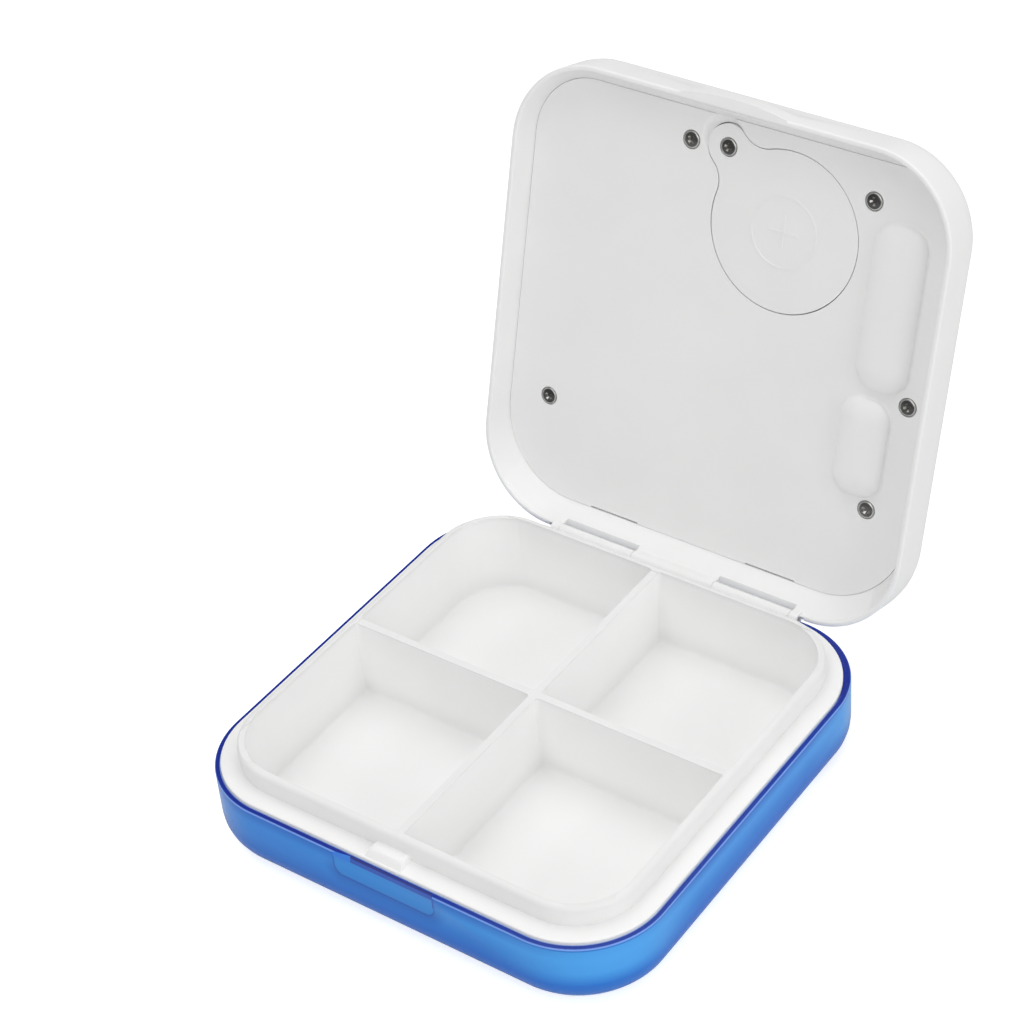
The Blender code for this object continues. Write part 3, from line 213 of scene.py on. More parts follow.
# Battery door
CELL_RADIUS = 0.01
BAY_CLEARANCE = 0.00035
BAY_WALL = 0.0007
BAY_SLOT = 0.0044
DOOR_RADIUS = 0.01115
DOOR_ROUND = 0.00008
CELL_SPOT = (0.007854, -0.017799)
DOOR_SCREW_SPOT = (-0.0019992, -0.027098)
LOBE_RADIUS = 0.00315
NECK_RADIUS = 0.004
PRY_RADIUS = 0.0035
PRY_DEPTH = 0.0005
PRY_SPOT = (-0.0028992, -0.028198)
MARK_RADIUS = 0.0048
MARK_LINE = 0.00025
MARK_RISE = 0.0001

# Display, lamp and buttons; a digit's sizes are its width, height, bar and gap
WINDOW_SPOT_SHARES = (0.0133, 0.4485)
WINDOW_WIDTH = 0.0411
WINDOW_DEPTH = 0.0183
WINDOW_CORNER = 0.001
WINDOW_SUNK = 0.0009
WINDOW_WALL = 0.0008
WINDOW_FLANGE = 0.001
FRAME_WIDTH = 0.0012
FRAME_DEPTH = 0.0004
GLASS_WALL = 0.0011
GLASS_MARGIN = 0.0005
PANE_ROUND = 0.0001
GLASS_TOP_Z = LID_TOP_Z - WINDOW_SUNK - WINDOW_WALL - FINE_GAP
EDGE_LINE = 0.00045
# The digits' bars are drawn wider than the segments themselves, taking in the segments' painted shadow.
DIGIT_SIZES = (0.0072, 0.0155, 0.0021, 0.00008)
DIGIT_SLANT = 0.025
DIGIT_ROW = 0.01485
DIGITS = ((-0.0145, ""), (-0.00663, "abged"), (0.00315, "bc"), (0.01105, "afgcd"))
COLON = ((-0.0017, 0.017), (-0.00187, 0.01275))
COLON_RADIUS = 0.0009
BELL_SPOT = (0.0165, 0.0142)
BELL_DOME = 0.000605
BELL_BRIM = (0.00088, 0.000495)
BELL_CLAPPER = (0.000275, 0.000825, 0.000605)
COUNT_SPOT = (0.01964, 0.0141)
COUNT_SIZES = (0.00145, 0.00215, 0.00038, 0)
INK_THICKNESS = 0.00002
LED_SPOT_SHARES = (-0.553, -0.568)
LED_HOLE = 0.00097
BUTTON_WIDTH = 0.01112
BUTTON_DEPTH = 0.00694
BUTTON_PROUD = 0.0004
BUTTON_ROUND = 0.0004
BUTTON_FLANGE = 0.0005
BUTTON_FLANGE_WALL = 0.00045
BUTTON_LOW = 0.0194
PRINT_SIZE = 0.0019
PRINT_LINE = 0.00042
ARROW_REACH = 0.00076
RING_BAR = (0.001425, 0.00247)
BUTTON_ROW_SHARE = -0.101
BUTTONS = (("hour", -0.4618), ("mode", 0.0088), ("minute", 0.475))

# Materials: noise scales, a grain's scale, depth and detail, and where the blue's painted light and shade
# change
DRIFT_SCALE = 70.0
GLOSS_SCALE = 900.0
GLOSS_SPREAD = (0.9, 1.12)
PLASTIC_GRAIN = (3500.0, 0.000006, 3.0)
METAL_GRAIN = (9000.0, 0.000002, 3.0)
BLUE_AHEAD = (0.024, 0.016)
BLUE_ACROSS = (-0.016, 0.02)
BLUE_CORNER = (0.0365, 0.0425)
BLUE_RIGHT = (0.0, 0.03)

# Stage: each light's place, aim, size and power
FLOOR_REACH = 1.5
FLOOR_DEPTH = 0.01
FLOOR_GLOW = 0.62
FLOOR_TONE = 0.8
ROOM_LIGHT = 0.42
LIGHTS = {
    "key": ((-0.1, 0.08, 1.0), (0, 0, 0), 1.2, 6.2),
    "side": ((0.95, -0.12, 0.33), (0, 0, 0.02), 0.6, 2.6),
    "front": ((0.1, -0.85, 0.5), (0, 0, 0.03), 0.5, 1.2),
}
CAMERA_SPOT = (0.16617, -0.21000, 0.25581)
CAMERA_AIM = (-0.4634, 0.6290, -0.6242)
CAMERA_ROLL = math.radians(4.1)
CAMERA_LENS = 95.65
CAMERA_SHIFT = (-0.078125, 0.015625)


def spot(shares):
    """Place on the plan, from shares of half the width."""
    return shares[0] * HALF, shares[1] * HALF


# Plan outlines: half width, front, rear, front corner radius and rear corner radius

def square_plan(inset):
    return HALF - inset, inset - HALF, HALF - inset, CORNER - inset, CORNER - inset


def rim_plan(inset):
    """Inner outline of the rim, which leaves a broader rim at the two rear corners."""
    half_x, front, rear, corner_front, _ = square_plan(inset)
    return half_x, front, rear, corner_front, CORNER


def inset_plan(plan, inset):
    half_x, front, rear, corner_front, corner_rear = plan
    return half_x - inset, front + inset, rear - inset, corner_front - inset, corner_rear - inset


def seam_plan(inset):
    """Outline of the seam between the lid's rim wall and its panel, drawn in by an inset."""
    plan = (HALF - SEAM_SIDE, SEAM_FRONT - HALF, HALF - SEAM_REAR, SEAM_CORNER_FRONT, SEAM_CORNER_REAR)
    return inset_plan(plan, inset)


def corner_arc(centre_x, centre_y, radius, start, sweep=QUARTER_TURN, steps=CORNER_STEPS):
    """Points of an arc, both ends included."""
    angles = [start + sweep * k / steps for k in range(steps + 1)]
    return [(centre_x + radius * math.cos(a), centre_y + radius * math.sin(a)) for a in angles]


def plan_points(plan):
    """Points of a plan, anticlockwise from the rear right corner."""
    half_x, front, rear, near, far = plan
    corners = ((1, rear - far, far), (-1, rear - far, far), (-1, front + near, near), (1, front + near, near))
    points = []
    for quarter, (side, y, radius) in enumerate(corners):
        points += corner_arc(side * (half_x - radius), y, radius, quarter * QUARTER_TURN)
    return points


def stadium_points(width, depth, centre, grow=0):
    """Points of a slot with half round ends, anticlockwise."""
    radius = depth / 2 + grow
    points = []
    for side in (1, -1):
        x = centre[0] + side * (width - depth) / 2
        points += corner_arc(x, centre[1], radius, -side * QUARTER_TURN, 2 * QUARTER_TURN, 32)
    return points


def rectangle_points(width, depth, centre, corner, grow=0, steps=12):
    """Points of a rectangle with round corners, anticlockwise; it may grow round the same corners."""
    points = []
    for quarter, (side_x, side_y) in enumerate(((1, 1), (-1, 1), (-1, -1), (1, -1))):
        x = centre[0] + side_x * (width / 2 + grow - corner)
        y = centre[1] + side_y * (depth / 2 + grow - corner)
        points += corner_arc(x, y, corner, quarter * QUARTER_TURN, QUARTER_TURN, steps)
    return points


def window_points(grow, corner=WINDOW_CORNER):
    return rectangle_points(WINDOW_WIDTH, WINDOW_DEPTH, spot(WINDOW_SPOT_SHARES), corner, grow)


def button_points(share, grow):
    return stadium_points(BUTTON_WIDTH, BUTTON_DEPTH, spot((share, BUTTON_ROW_SHARE)), grow)


def door_points(grow):
    """Battery door outline: the cell's round cover and the screw's lobe, blended at the neck."""
    cover = Vector(CELL_SPOT)
    lobe = Vector(DOOR_SCREW_SPOT)
    cover_radius = DOOR_RADIUS + grow
    lobe_radius = LOBE_RADIUS + grow
    neck_radius = NECK_RADIUS - grow
    span = lobe - cover
    distance = span.length
    along = span / distance
    across = Vector((-along.y, along.x))
    to_cover = cover_radius + neck_radius
    to_lobe = lobe_radius + neck_radius
    foot = (distance ** 2 + to_cover ** 2 - to_lobe ** 2) / (2 * distance)
    height = math.sqrt(to_cover ** 2 - foot ** 2)
    left, right = [cover + along * foot + across * height * side for side in (1, -1)]

    def arc(centre, radius, start, end, turn, steps):
        first, last = [math.atan2(point.y - centre.y, point.x - centre.x) for point in (start, end)]
        sweep = turn * ((last - first) * turn % (2 * math.pi))
        return corner_arc(*centre, radius, first, sweep, steps)

    points = arc(cover, cover_radius, left, right, 1, 96)
    points += arc(right, neck_radius, cover, lobe, -1, 16)[1:]
    points += arc(lobe, lobe_radius, right, left, 1, 36)[1:]
    return points + arc(left, neck_radius, lobe, cover, -1, 16)[1:-1]


# Shapes, each a bmesh in closed position

def loft(sections):
    """Solid through level sections, each a list of points and a height, lowest first."""
    shape = bmesh.new()
    rings = [[shape.verts.new((x, y, z)) for x, y in points] for points, z in sections]
    count = len(rings[0])
    for lower, upper in zip(rings, rings[1:]):
        for k in range(count):
            following = (k + 1) % count
            shape.faces.new((lower[k], lower[following], upper[following], upper[k]))
    shape.faces.new(list(reversed(rings[0])))
    shape.faces.new(rings[-1])
    return shape


def rounding(radius, steps=EDGE_STEPS):
    """Inset and drop of each step round an edge, from its side to its flat."""
    if not radius:
        return [(0, 0)]
    angles = [k / steps * QUARTER_TURN for k in range(steps + 1)]
    return [(radius * (1 - math.cos(a)), radius * (1 - math.sin(a))) for a in angles]


def rounded(outline, low, high, low_round=0, high_round=0, draft=0):
    """Solid from an outline that takes an inset: edges may be rounded over, and its foot narrower."""
    sections = [(outline(draft + inset), low + drop) for inset, drop in reversed(rounding(low_round))]
    sections += [(outline(inset), high - drop) for inset, drop in rounding(high_round)]
    return loft(sections)


def plan_block(plan, *sizes):
    return rounded(lambda inset: plan_points(inset_plan(plan, inset)), *sizes)


def prism(outline, low, high):
    return loft([(outline, low), (outline, high)])


def about(middle, reach):
    return middle - reach, middle + reach


def ordered(side, near, far):
    """Lower and higher end of a span that lies on one side of the middle."""
    return sorted((side * near, side * far))


def box(xs, ys, zs):
    """Plain block, from its lower and higher end along each axis."""
    return prism([(xs[0], ys[0]), (xs[1], ys[0]), (xs[1], ys[1]), (xs[0], ys[1])], *zs)


def cylinder(radius, start, end, sides=ROUND_SIDES):
    """Cylinder between two points on its axis."""
    shape = bmesh.new()
    run = Vector(end) - Vector(start)
    bmesh.ops.create_cone(
        shape, cap_ends=True, segments=sides, radius1=radius, radius2=radius, depth=run.length)
    turn = run.to_track_quat("Z", "Y").to_matrix().to_4x4()
    middle = Vector(start) + run / 2
    bmesh.ops.transform(shape, matrix=Matrix.Translation(middle) @ turn, verts=shape.verts)
    return shape


def upright(radius, place, low, high, sides=ROUND_SIDES):
    return cylinder(radius, (*place, low), (*place, high), sides)


def hinge_bar(radius, xs, sides=ROUND_SIDES):
    """Round bar on the hinge's axis."""
    y, z = HINGE_POINT.yz
    return cylinder(radius, (xs[0], y, z), (xs[1], y, z), sides)


def ring(outer, inner, place, low, high, sides=ROUND_SIDES):
    """Flat upright ring."""
    shape = bmesh.new()
    loops = []
    for radius, z in ((outer, low), (outer, high), (inner, high), (inner, low)):
        points = corner_arc(*place, radius, 0, 2 * math.pi, sides)[:-1]
        loops.append([shape.verts.new((x, y, z)) for x, y in points])
    for loop, following in zip(loops, loops[1:] + loops[:1]):
        for k in range(sides):
            far = (k + 1) % sides
            shape.faces.new((loop[k], loop[far], following[far], following[k]))
    return shape


def turned(profile, place, sides=ROUND_SIDES):
    """Upright turned solid from a profile of radius and height, lowest first."""
    return loft([(corner_arc(*place, radius, 0, 2 * math.pi, sides)[:-1], z) for radius, z in profile])


def combined(shapes):
    """One bmesh of several shapes that don't meet."""
    whole = bmesh.new()
    for shape in shapes:
        mesh = bpy.data.meshes.new("shape")
        shape.to_mesh(mesh)
        whole.from_mesh(mesh)
        shape.free()
        bpy.data.meshes.remove(mesh)
    return whole


def both_sides(make):
    return combined([make(side) for side in (-1, 1)])


def loose_object(name, shape):
    mesh = bpy.data.meshes.new(name)
    shape.to_mesh(mesh)
    shape.free()
    item = bpy.data.objects.new(name, mesh)
    bpy.context.scene.collection.objects.link(item)
    return item


def carved(name, shape, steps):
    """Object of a shape after its cuts and joins, each a label, CUT or JOIN, and a shape."""
    item = loose_object(name, shape)
    guides = []
    for label, operation, tool in steps:
        guide = loose_object(label, tool)
        modifier = item.modifiers.new(label, "BOOLEAN")
        modifier.operation = operation
        modifier.solver = "EXACT"
        modifier.object = guide
        guides.append(guide)
    bpy.context.view_layer.update()
    evaluated = item.evaluated_get(bpy.context.evaluated_depsgraph_get())
    mesh = bpy.data.meshes.new_from_object(evaluated)
    item.modifiers.clear()
    item.data = mesh
    mesh.name = name
    for guide in guides:
        bpy.data.objects.remove(guide)
    return item


def finish_piece(item, body, finish, stands_for=()):
    """Smooth a piece, give it its finish, turn it open if it is the lid's, and let it ride."""
    item.data.shade_smooth()
    item.data.set_sharp_from_angle(angle=SMOOTH_ANGLE)
    item.data.materials.clear()
    item.data.materials.append(finish)
    if body != "base":
        item.data.transform(LID_TURN)
    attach(item, body)
    if stands_for:
        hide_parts(*stands_for)


def add_tones(item, finishes, tones):
    """Give a finished piece more finishes, and each face the number of its own."""
    for finish in finishes:
        item.data.materials.append(finish)
    for face, tone in zip(item.data.polygons, tones):
        face.material_index = tone


# Materials

def feed(tree, item, inputs):
    """Set a node's inputs to values, or link them to sockets."""
    for key, value in inputs:
        if isinstance(value, bpy.types.NodeSocket):
            tree.links.new(value, item.inputs[key])
        else:
            item.inputs[key].default_value = value


def node(tree, kind, inputs=(), **settings):
    item = tree.nodes.new("ShaderNode" + kind)
    for key, value in settings.items():
        setattr(item, key, value)
    feed(tree, item, inputs)
    return item


def new_material(name):
    """Material, its node tree and shader, and the socket of each point's place in the model."""
    material = bpy.data.materials.new(name)
    material.use_nodes = True
    tree = material.node_tree
    where = node(tree, "TexCoord").outputs["Object"]
    return material, tree, tree.nodes["Principled BSDF"], where


def noise(tree, where, scale, detail=2.0):
    inputs = [("Vector", where), ("Scale", scale), ("Detail", detail)]
    return node(tree, "TexNoise", inputs).outputs["Fac"]


def ramp(tree, value, stops):
    """Colours or greys along a value, each stop a place and a colour."""
    item = node(tree, "ValToRGB", [("Fac", value)])
    elements = item.color_ramp.elements
    while len(elements) < len(stops):
        elements.new(0.5)
    for element, (place, colour) in zip(elements, stops):
        element.position = place
        element.color = (*colour, 1)
    return item.outputs["Color"]


def grey(level):
    return level, level, level


def off_white(level):
    return level, level, level - 0.004


def between(tree, value, low, high, least=0.0):
    """Share of the way from a low to a high value, kept from the least share to 1."""
    inputs = [("Value", value), ("From Min", low), ("From Max", high), ("To Min", least)]
    return node(tree, "MapRange", inputs).outputs["Result"]


def mixed(tree, share, first, second):
    inputs = [("Factor", share), (6, first), (7, second)]
    return node(tree, "Mix", inputs, data_type="RGBA").outputs[2]


def maths(tree, operation, *values):
    return node(tree, "Math", enumerate(values), operation=operation).outputs[0]


def vectors(tree, operation, *values):
    return node(tree, "VectorMath", enumerate(values), operation=operation).outputs


def product(tree, first, *others):
    for other in others:
        first = maths(tree, "MULTIPLY", first, other)
    return first


def flattened(tree, where):
    return vectors(tree, "MULTIPLY", where, (1, 1, 0))[0]


def reach_past(tree, where, corner):
    """Distance of a place past a corner, along the axes on which it lies past it."""
    past = vectors(tree, "SUBTRACT", where, corner)[0]
    kept = vectors(tree, "MAXIMUM", past, (0, 0, 0))[0]
    return vectors(tree, "LENGTH", kept)["Value"]


def wall_depth(tree, where):
    """How far a place lies inside the square outline with its round corners."""
    quarter = vectors(tree, "ABSOLUTE", flattened(tree, where))[0]
    reach = reach_past(tree, quarter, (HALF - CORNER, HALF - CORNER, 0))
    return maths(tree, "SUBTRACT", CORNER, reach)


def add_gloss(tree, shader, where, scale, least, most):
    """Roughness that wanders between two values."""
    gloss = ramp(tree, noise(tree, where, scale), [(0.3, grey(least)), (0.7, grey(most))])
    feed(tree, shader, [("Roughness", gloss)])


def add_grain(tree, shader, where, scale, depth, detail=2.0):
    inputs = [("Height", noise(tree, where, scale, detail)), ("Distance", depth)]
    feed(tree, shader, [("Normal", node(tree, "Bump", inputs).outputs["Normal"])])


def moulded(name, low, high, roughness, grain=PLASTIC_GRAIN, specular=0.5, metallic=0.0):
    """Moulded plastic or plain metal: a slow drift of tone, a fine grain and an uneven gloss."""
    material, tree, shader, where = new_material(name)
    tone = ramp(tree, noise(tree, where, DRIFT_SCALE), [(0.35, low), (0.65, high)])
    feed(tree, shader, [("Base Color", tone), ("Specular IOR Level", specular), ("Metallic", metallic)])
    add_gloss(tree, shader, where, GLOSS_SCALE, *[roughness * share for share in GLOSS_SPREAD])
    add_grain(tree, shader, where, *grain)
    return material


def metal(name, low, high, roughness):
    return moulded(name, low, high, roughness, METAL_GRAIN, metallic=1.0)


def tray_plastic():
    """White plastic with painted light and shade: lighter inside the compartments, most up their walls, to
    lift the shade in them, and darker on the lip's top and outer side, and a little on the flange, where the
    light falls brightest.
    """
    material, tree, shader, where = new_material("tray_plastic")
    drift = noise(tree, where, DRIFT_SCALE)
    floor, wall, lip = [
        ramp(tree, drift, [(0.35, off_white(level)), (0.65, off_white(level + 0.02))])
        for level in (0.89, 0.94, 0.83)]
    height = node(tree, "SeparateXYZ", [("Vector", where)]).outputs["Z"]
    inside = mixed(tree, between(tree, height, TRAY_FLOOR_Z, TRAY_FLOOR_Z + WALL_FADE), floor, wall)
    # Painted light: the darker lip tone on the lip's top and outer side, and a little of it on the flange.
    high = between(tree, height, LIP_Z - LIP_ROUND, LIP_Z - LIP_ROUND / 4, 0.4)
    lip_end = LIP_INSET + LIP_WALL
    outer = between(tree, wall_depth(tree, where), lip_end + LIP_ROUND / 2, lip_end)
    top = between(tree, height, LIP_Z - LIP_ROUND / 2, LIP_Z - LIP_ROUND / 4)
    share = maths(tree, "MAXIMUM", product(tree, high, outer), top)
    feed(tree, shader, [("Base Color", mixed(tree, share, inside, lip)), ("Specular IOR Level", 0.4)])
    add_gloss(tree, shader, where, GLOSS_SCALE, 0.4, 0.5)
    add_grain(tree, shader, where, *PLASTIC_GRAIN)
    return material


def painted_scoop_shading(tree, x, y, z, tone):
    """Painted light and shade of the front wall at the finger scoop: painted light inside it, a dark painted
    line along its outline and painted shade below it.
    """
    drop = maths(tree, "SUBTRACT", BASE_HEIGHT, z)
    place = node(tree, "CombineXYZ", [("X", maths(tree, "ABSOLUTE", x)), ("Z", drop)]).outputs[0]
    reach = reach_past(tree, place, (SCOOP_WIDTH / 2 - PATCH_ROUND, 0, PATCH_HEIGHT - PATCH_ROUND))
    wall = product(
        tree, between(tree, y, PATCH_REACH - HALF, PATCH_REACH / 2 - HALF),
        between(tree, drop, RIM_LINE, 2 * RIM_LINE))
    below = product(
        tree, between(tree, reach, PATCH_ROUND + PATCH_SHADE, PATCH_ROUND),
        between(tree, drop, PATCH_HEIGHT - 2 * PATCH_ROUND, PATCH_HEIGHT))
    inside = between(tree, reach, PATCH_ROUND, PATCH_ROUND - PATCH_EDGE)
    line = product(
        tree, between(tree, reach, PATCH_ROUND + PATCH_EDGE, PATCH_ROUND),
        between(tree, reach, PATCH_ROUND - PATCH_EDGE, PATCH_ROUND))
    # Painted shade below the scoop, painted light inside it and a dark painted line along its outline.
    for strength, share, colour in (
            (0.6, below, (0.01, 0.09, 0.46, 1)),
            (0.5, inside, (0.045, 0.33, 0.84, 1)),
            (0.5, line, (0.008, 0.06, 0.36, 1))):
        tone = mixed(tree, product(tree, strength, wall, share), tone, colour)
    return tone


def blue_plastic():
    """Tinted clear plastic with its light and shade painted in: painted deep shade on the rim's top, where it
    is seen edge on, and a painted highlight along its outer and inner edges; lighter down the wall, with
    painted shade towards the foot, a painted ramp of its own at the front right, and painted light at the
    right-hand corners.
    """
    material, tree, shader, where = new_material("blue_plastic")
    x, y, z = node(tree, "SeparateXYZ", [("Vector", where)]).outputs
    share = between(tree, z, 0.0, BASE_HEIGHT)
    # Painted light and shade up the wall: darker towards the foot; at the rim, a painted highlight along its
    # outer edge and painted deep shade on its top.
    foot = (0.0, (0.012, 0.07, 0.34))
    rim = [(0.974, (0.016, 0.16, 0.62)), (0.984, (0.2, 0.39, 0.92)), (0.9975, (0.2, 0.39, 0.92))]
    left = ramp(tree, share, [
        foot, (0.2, (0.012, 0.14, 0.58)), (0.4, (0.016, 0.175, 0.65)), (0.6, (0.028, 0.24, 0.75)),
        (0.82, (0.032, 0.265, 0.79)), *rim, (0.9995, (0.001, 0.018, 0.28))])
    right = ramp(tree, share, [
        foot, (0.2, (0.016, 0.15, 0.6)), (0.4, (0.01, 0.155, 0.65)), (0.6, (0.014, 0.22, 0.73)),
        (0.82, (0.048, 0.33, 0.86)), *rim, (0.9995, (0.001, 0.032, 0.32))])
    # The front right takes a painted ramp of its own.
    ahead = between(tree, y, *BLUE_AHEAD)
    tone = mixed(tree, product(tree, ahead, between(tree, x, *BLUE_ACROSS)), left, right)
    tone = painted_scoop_shading(tree, x, y, z, tone)
    # Painted light on the wall at the right-hand corners.
    corner = between(tree, vectors(tree, "LENGTH", flattened(tree, where))["Value"], *BLUE_CORNER)
    wall = ramp(tree, share, [(0.4, grey(0.1)), (0.6, grey(0.8)), (0.95, grey(0.8)), (0.97, grey(0.0))])
    glow = product(tree, corner, between(tree, x, *BLUE_RIGHT), wall)
    tone = mixed(tree, glow, tone, (0.08, 0.43, 0.96, 1))
    # Painted highlight line along the rim's inner edge, except at the rear.
    inner_edge_highlight = between(tree, wall_depth(tree, where), RIM_WALL - RIM_LINE, RIM_WALL)
    tone = mixed(tree, product(tree, inner_edge_highlight, ahead), tone, (0.4, 0.58, 0.95, 1))
    feed(tree, shader, [("Base Color", tone), ("Specular IOR Level", 0.3)])
    add_gloss(tree, shader, where, 600.0, 0.18, 0.24)
    add_grain(tree, shader, where, 1500.0, 0.000003)
    return material


def clear_window():
    material, tree, shader, where = new_material("clear_window")
    feed(tree, shader, [
        ("Base Color", (0.3, 0.32, 0.3, 1)), ("Specular IOR Level", 0.15), ("Alpha", 0.04)])
    add_gloss(tree, shader, where, 300.0, 0.03, 0.06)
    return material


def display_glass():
    """Grey green liquid crystal."""
    material, tree, shader, where = new_material("display_glass")
    tone = ramp(tree, noise(tree, where, 60.0), [(0.3, (0.112, 0.126, 0.092)), (0.7, (0.124, 0.138, 0.103))])
    feed(tree, shader, [("Base Color", tone), ("Roughness", 0.3), ("Specular IOR Level", 0.1)])
    add_grain(tree, shader, where, 5000.0, 0.000002)
    return material


def led_lens():
    material, tree, shader, where = new_material("led_lens")
    tone = ramp(tree, noise(tree, where, 900.0), [(0.3, (0.05, 0.018, 0.006)), (0.7, (0.1, 0.04, 0.014))])
    feed(tree, shader, [("Base Color", tone), ("Roughness", 0.12)])
    return material


WHITE = moulded("white_plastic", off_white(0.9), off_white(0.92), 0.45, specular=0.4)
TRAY_WHITE = tray_plastic()
# Screws' steel: dark plating, darkened further as a painted dark reflection in their heads.
DARK_STEEL_PAINTED_REFLECTION = metal("dark_steel", grey(0.06), (0.15, 0.15, 0.145), 0.2)
STEEL = metal("steel", (0.5, 0.49, 0.47), (0.6, 0.59, 0.57), 0.3)
CELL_METAL = metal("cell_metal", (0.6, 0.6, 0.59), (0.7, 0.7, 0.69), 0.25)
BRASS = metal("brass", (0.55, 0.4, 0.13), (0.65, 0.5, 0.2), 0.3)
BLACK = moulded("black_plastic", (0.015, 0.015, 0.016), (0.03, 0.03, 0.032), 0.45)
BOARD = moulded("board_green", (0.02, 0.15, 0.06), (0.03, 0.22, 0.09), 0.45)
RUBBER = moulded("connector_rubber", (0.06, 0.06, 0.07), (0.1, 0.1, 0.11), 0.8)
BLUE = blue_plastic()
# Lit and shaded copies of the blue, for the finger scoop's painted deep shade, painted shade and painted
# light.
BLUE_PAINTED_DEEP_SHADE = moulded("blue_painted_deep_shade_plastic", (0.005, 0.014, 0.2), (0.007, 0.02, 0.25), 0.22)
BLUE_PAINTED_SHADE = moulded("blue_painted_shade_plastic", (0.012, 0.085, 0.48), (0.016, 0.1, 0.54), 0.22)
BLUE_PAINTED_LIGHT = moulded("blue_painted_light_plastic", (0.012, 0.2, 0.8), (0.018, 0.24, 0.88), 0.22)
PLAIN_TONE, PAINTED_DEEP_SHADE_TONE, PAINTED_SHADE_TONE, PAINTED_LIGHT_TONE = range(4)
CLEAR = clear_window()
DISPLAY = display_glass()
LENS = led_lens()
DIGIT = moulded("digit_black", (0.008, 0.009, 0.008), (0.014, 0.015, 0.013), 0.35, specular=0.1)
FAINT = moulded("faint_segment", (0.092, 0.104, 0.075), (0.1, 0.112, 0.082), 0.35, specular=0.1)
PRINT = moulded("grey_print", grey(0.1), grey(0.14), 0.5)


# Base pieces

def knuckle_ends(side):
    grow = GAP - KNUCKLE_END_GAP
    return ordered(side, KNUCKLE_INNER - grow, KNUCKLE_OUTER + grow)


def ear_spans():
    """Lower and higher x of the lid's ears: a long one between the knuckles and two beside them."""
    middle = KNUCKLE_INNER - GAP
    near = KNUCKLE_OUTER + GAP
    far = near + EAR_WIDTH
    return (-middle, middle), (near, far), (-far, -near)


def pin_holes():
    """Bores of the hinge's two pins, each from the long ear out through the short one."""
    near = KNUCKLE_INNER - GAP - PIN_REACH - RUNNING_GAP
    far = KNUCKLE_OUTER + EAR_WIDTH + OVERRUN
    return both_sides(lambda side: hinge_bar(PIN_RADIUS + RUNNING_GAP, (side * near, side * far), 32))


def snap_tab(side, grow):
    xs = ordered(side, HALF - SHELL_WALL - LIP_WALL, HALF - SHELL_WALL + TAB_REACH + grow / 2)
    high = BASE_HEIGHT - TAB_DROP
    return box(xs, about(TAB_SHIFT, TAB_WIDTH / 2 + grow), (high - TAB_HEIGHT - grow, high + grow))


def finger_scoop():
    """Shallow recess of the front wall for a fingertip, with sloping ends and a band under the rim."""
    half_width = SCOOP_WIDTH / 2

    def outline(depth):
        inner = depth - HALF
        return [(-half_width, -HALF - OVERRUN), (half_width, -HALF - OVERRUN), (half_width, -HALF),
                (half_width - SCOOP_EDGE, inner), (SCOOP_RAMP - half_width, inner), (-half_width, -HALF)]

    sections = [(outline(WELD), BASE_HEIGHT - SCOOP_HEIGHT)]
    for drop, share in reversed(SCOOP_STEPS):
        sections.append((outline(share * SCOOP_DEPTH), BASE_HEIGHT - drop))
    return loft(sections + [(outline(SCOOP_DEPTH), BASE_HEIGHT + OVERRUN)])


def scoop_tone(face):
    """Which of the shell's painted tones a face has: in the scoop, painted deep shade in the band under the
    rim, painted shade below it and on its right end, and painted light on its left slope.
    """
    x, y, z = face.center
    in_scoop = abs(x) <= SCOOP_WIDTH / 2 and WELD - HALF <= y <= SCOOP_DEPTH + WELD - HALF
    if not in_scoop or face.normal.z > LEVEL_NORMAL:
        return PLAIN_TONE
    _, band, slope, foot = [step[0] for step in SCOOP_STEPS]
    drop = BASE_HEIGHT - z
    if x > SCOOP_WIDTH / 2 - SCOOP_EDGE:
        return PAINTED_SHADE_TONE if drop < foot else PLAIN_TONE
    if drop > slope:
        return PLAIN_TONE
    if x < SCOOP_RAMP - SCOOP_WIDTH / 2:
        return PAINTED_LIGHT_TONE
    return PAINTED_DEEP_SHADE_TONE if drop < band else PAINTED_SHADE_TONE


def make_outer_shell():
    over = BASE_HEIGHT + OVERRUN
    reach = KNUCKLE_RADIUS + GAP
    block = plan_block(square_plan(0), 0, BASE_HEIGHT, SHELL_EDGE_ROUND, RIM_ROUND)
    item = carved("blue_shell", block, [
        ("hollow", CUT, plan_block(
            square_plan(SHELL_WALL), SHELL_FLOOR, over, SHELL_EDGE_ROUND - SHELL_WALL)),
        ("seat", CUT, plan_block(rim_plan(RIM_WALL), BASE_HEIGHT - SEAT_DROP, over)),
        ("relief", CUT, box(
            about(0, KNUCKLE_OUTER + GAP + EAR_WIDTH + GAP), (HALF - reach, HALF + OVERRUN),
            (HINGE_POINT.z - reach, over))),
        ("scoop", CUT, finger_scoop()),
        ("windows", CUT, both_sides(lambda side: snap_tab(side, GAP))),
    ])
    # Painted light and shade of the finger scoop, face by face.
    tones = [scoop_tone(face) for face in item.data.polygons]
    finish_piece(item, "base", BLUE, ["outer_shell"])
    add_tones(item, (BLUE_PAINTED_DEEP_SHADE, BLUE_PAINTED_SHADE, BLUE_PAINTED_LIGHT), tones)


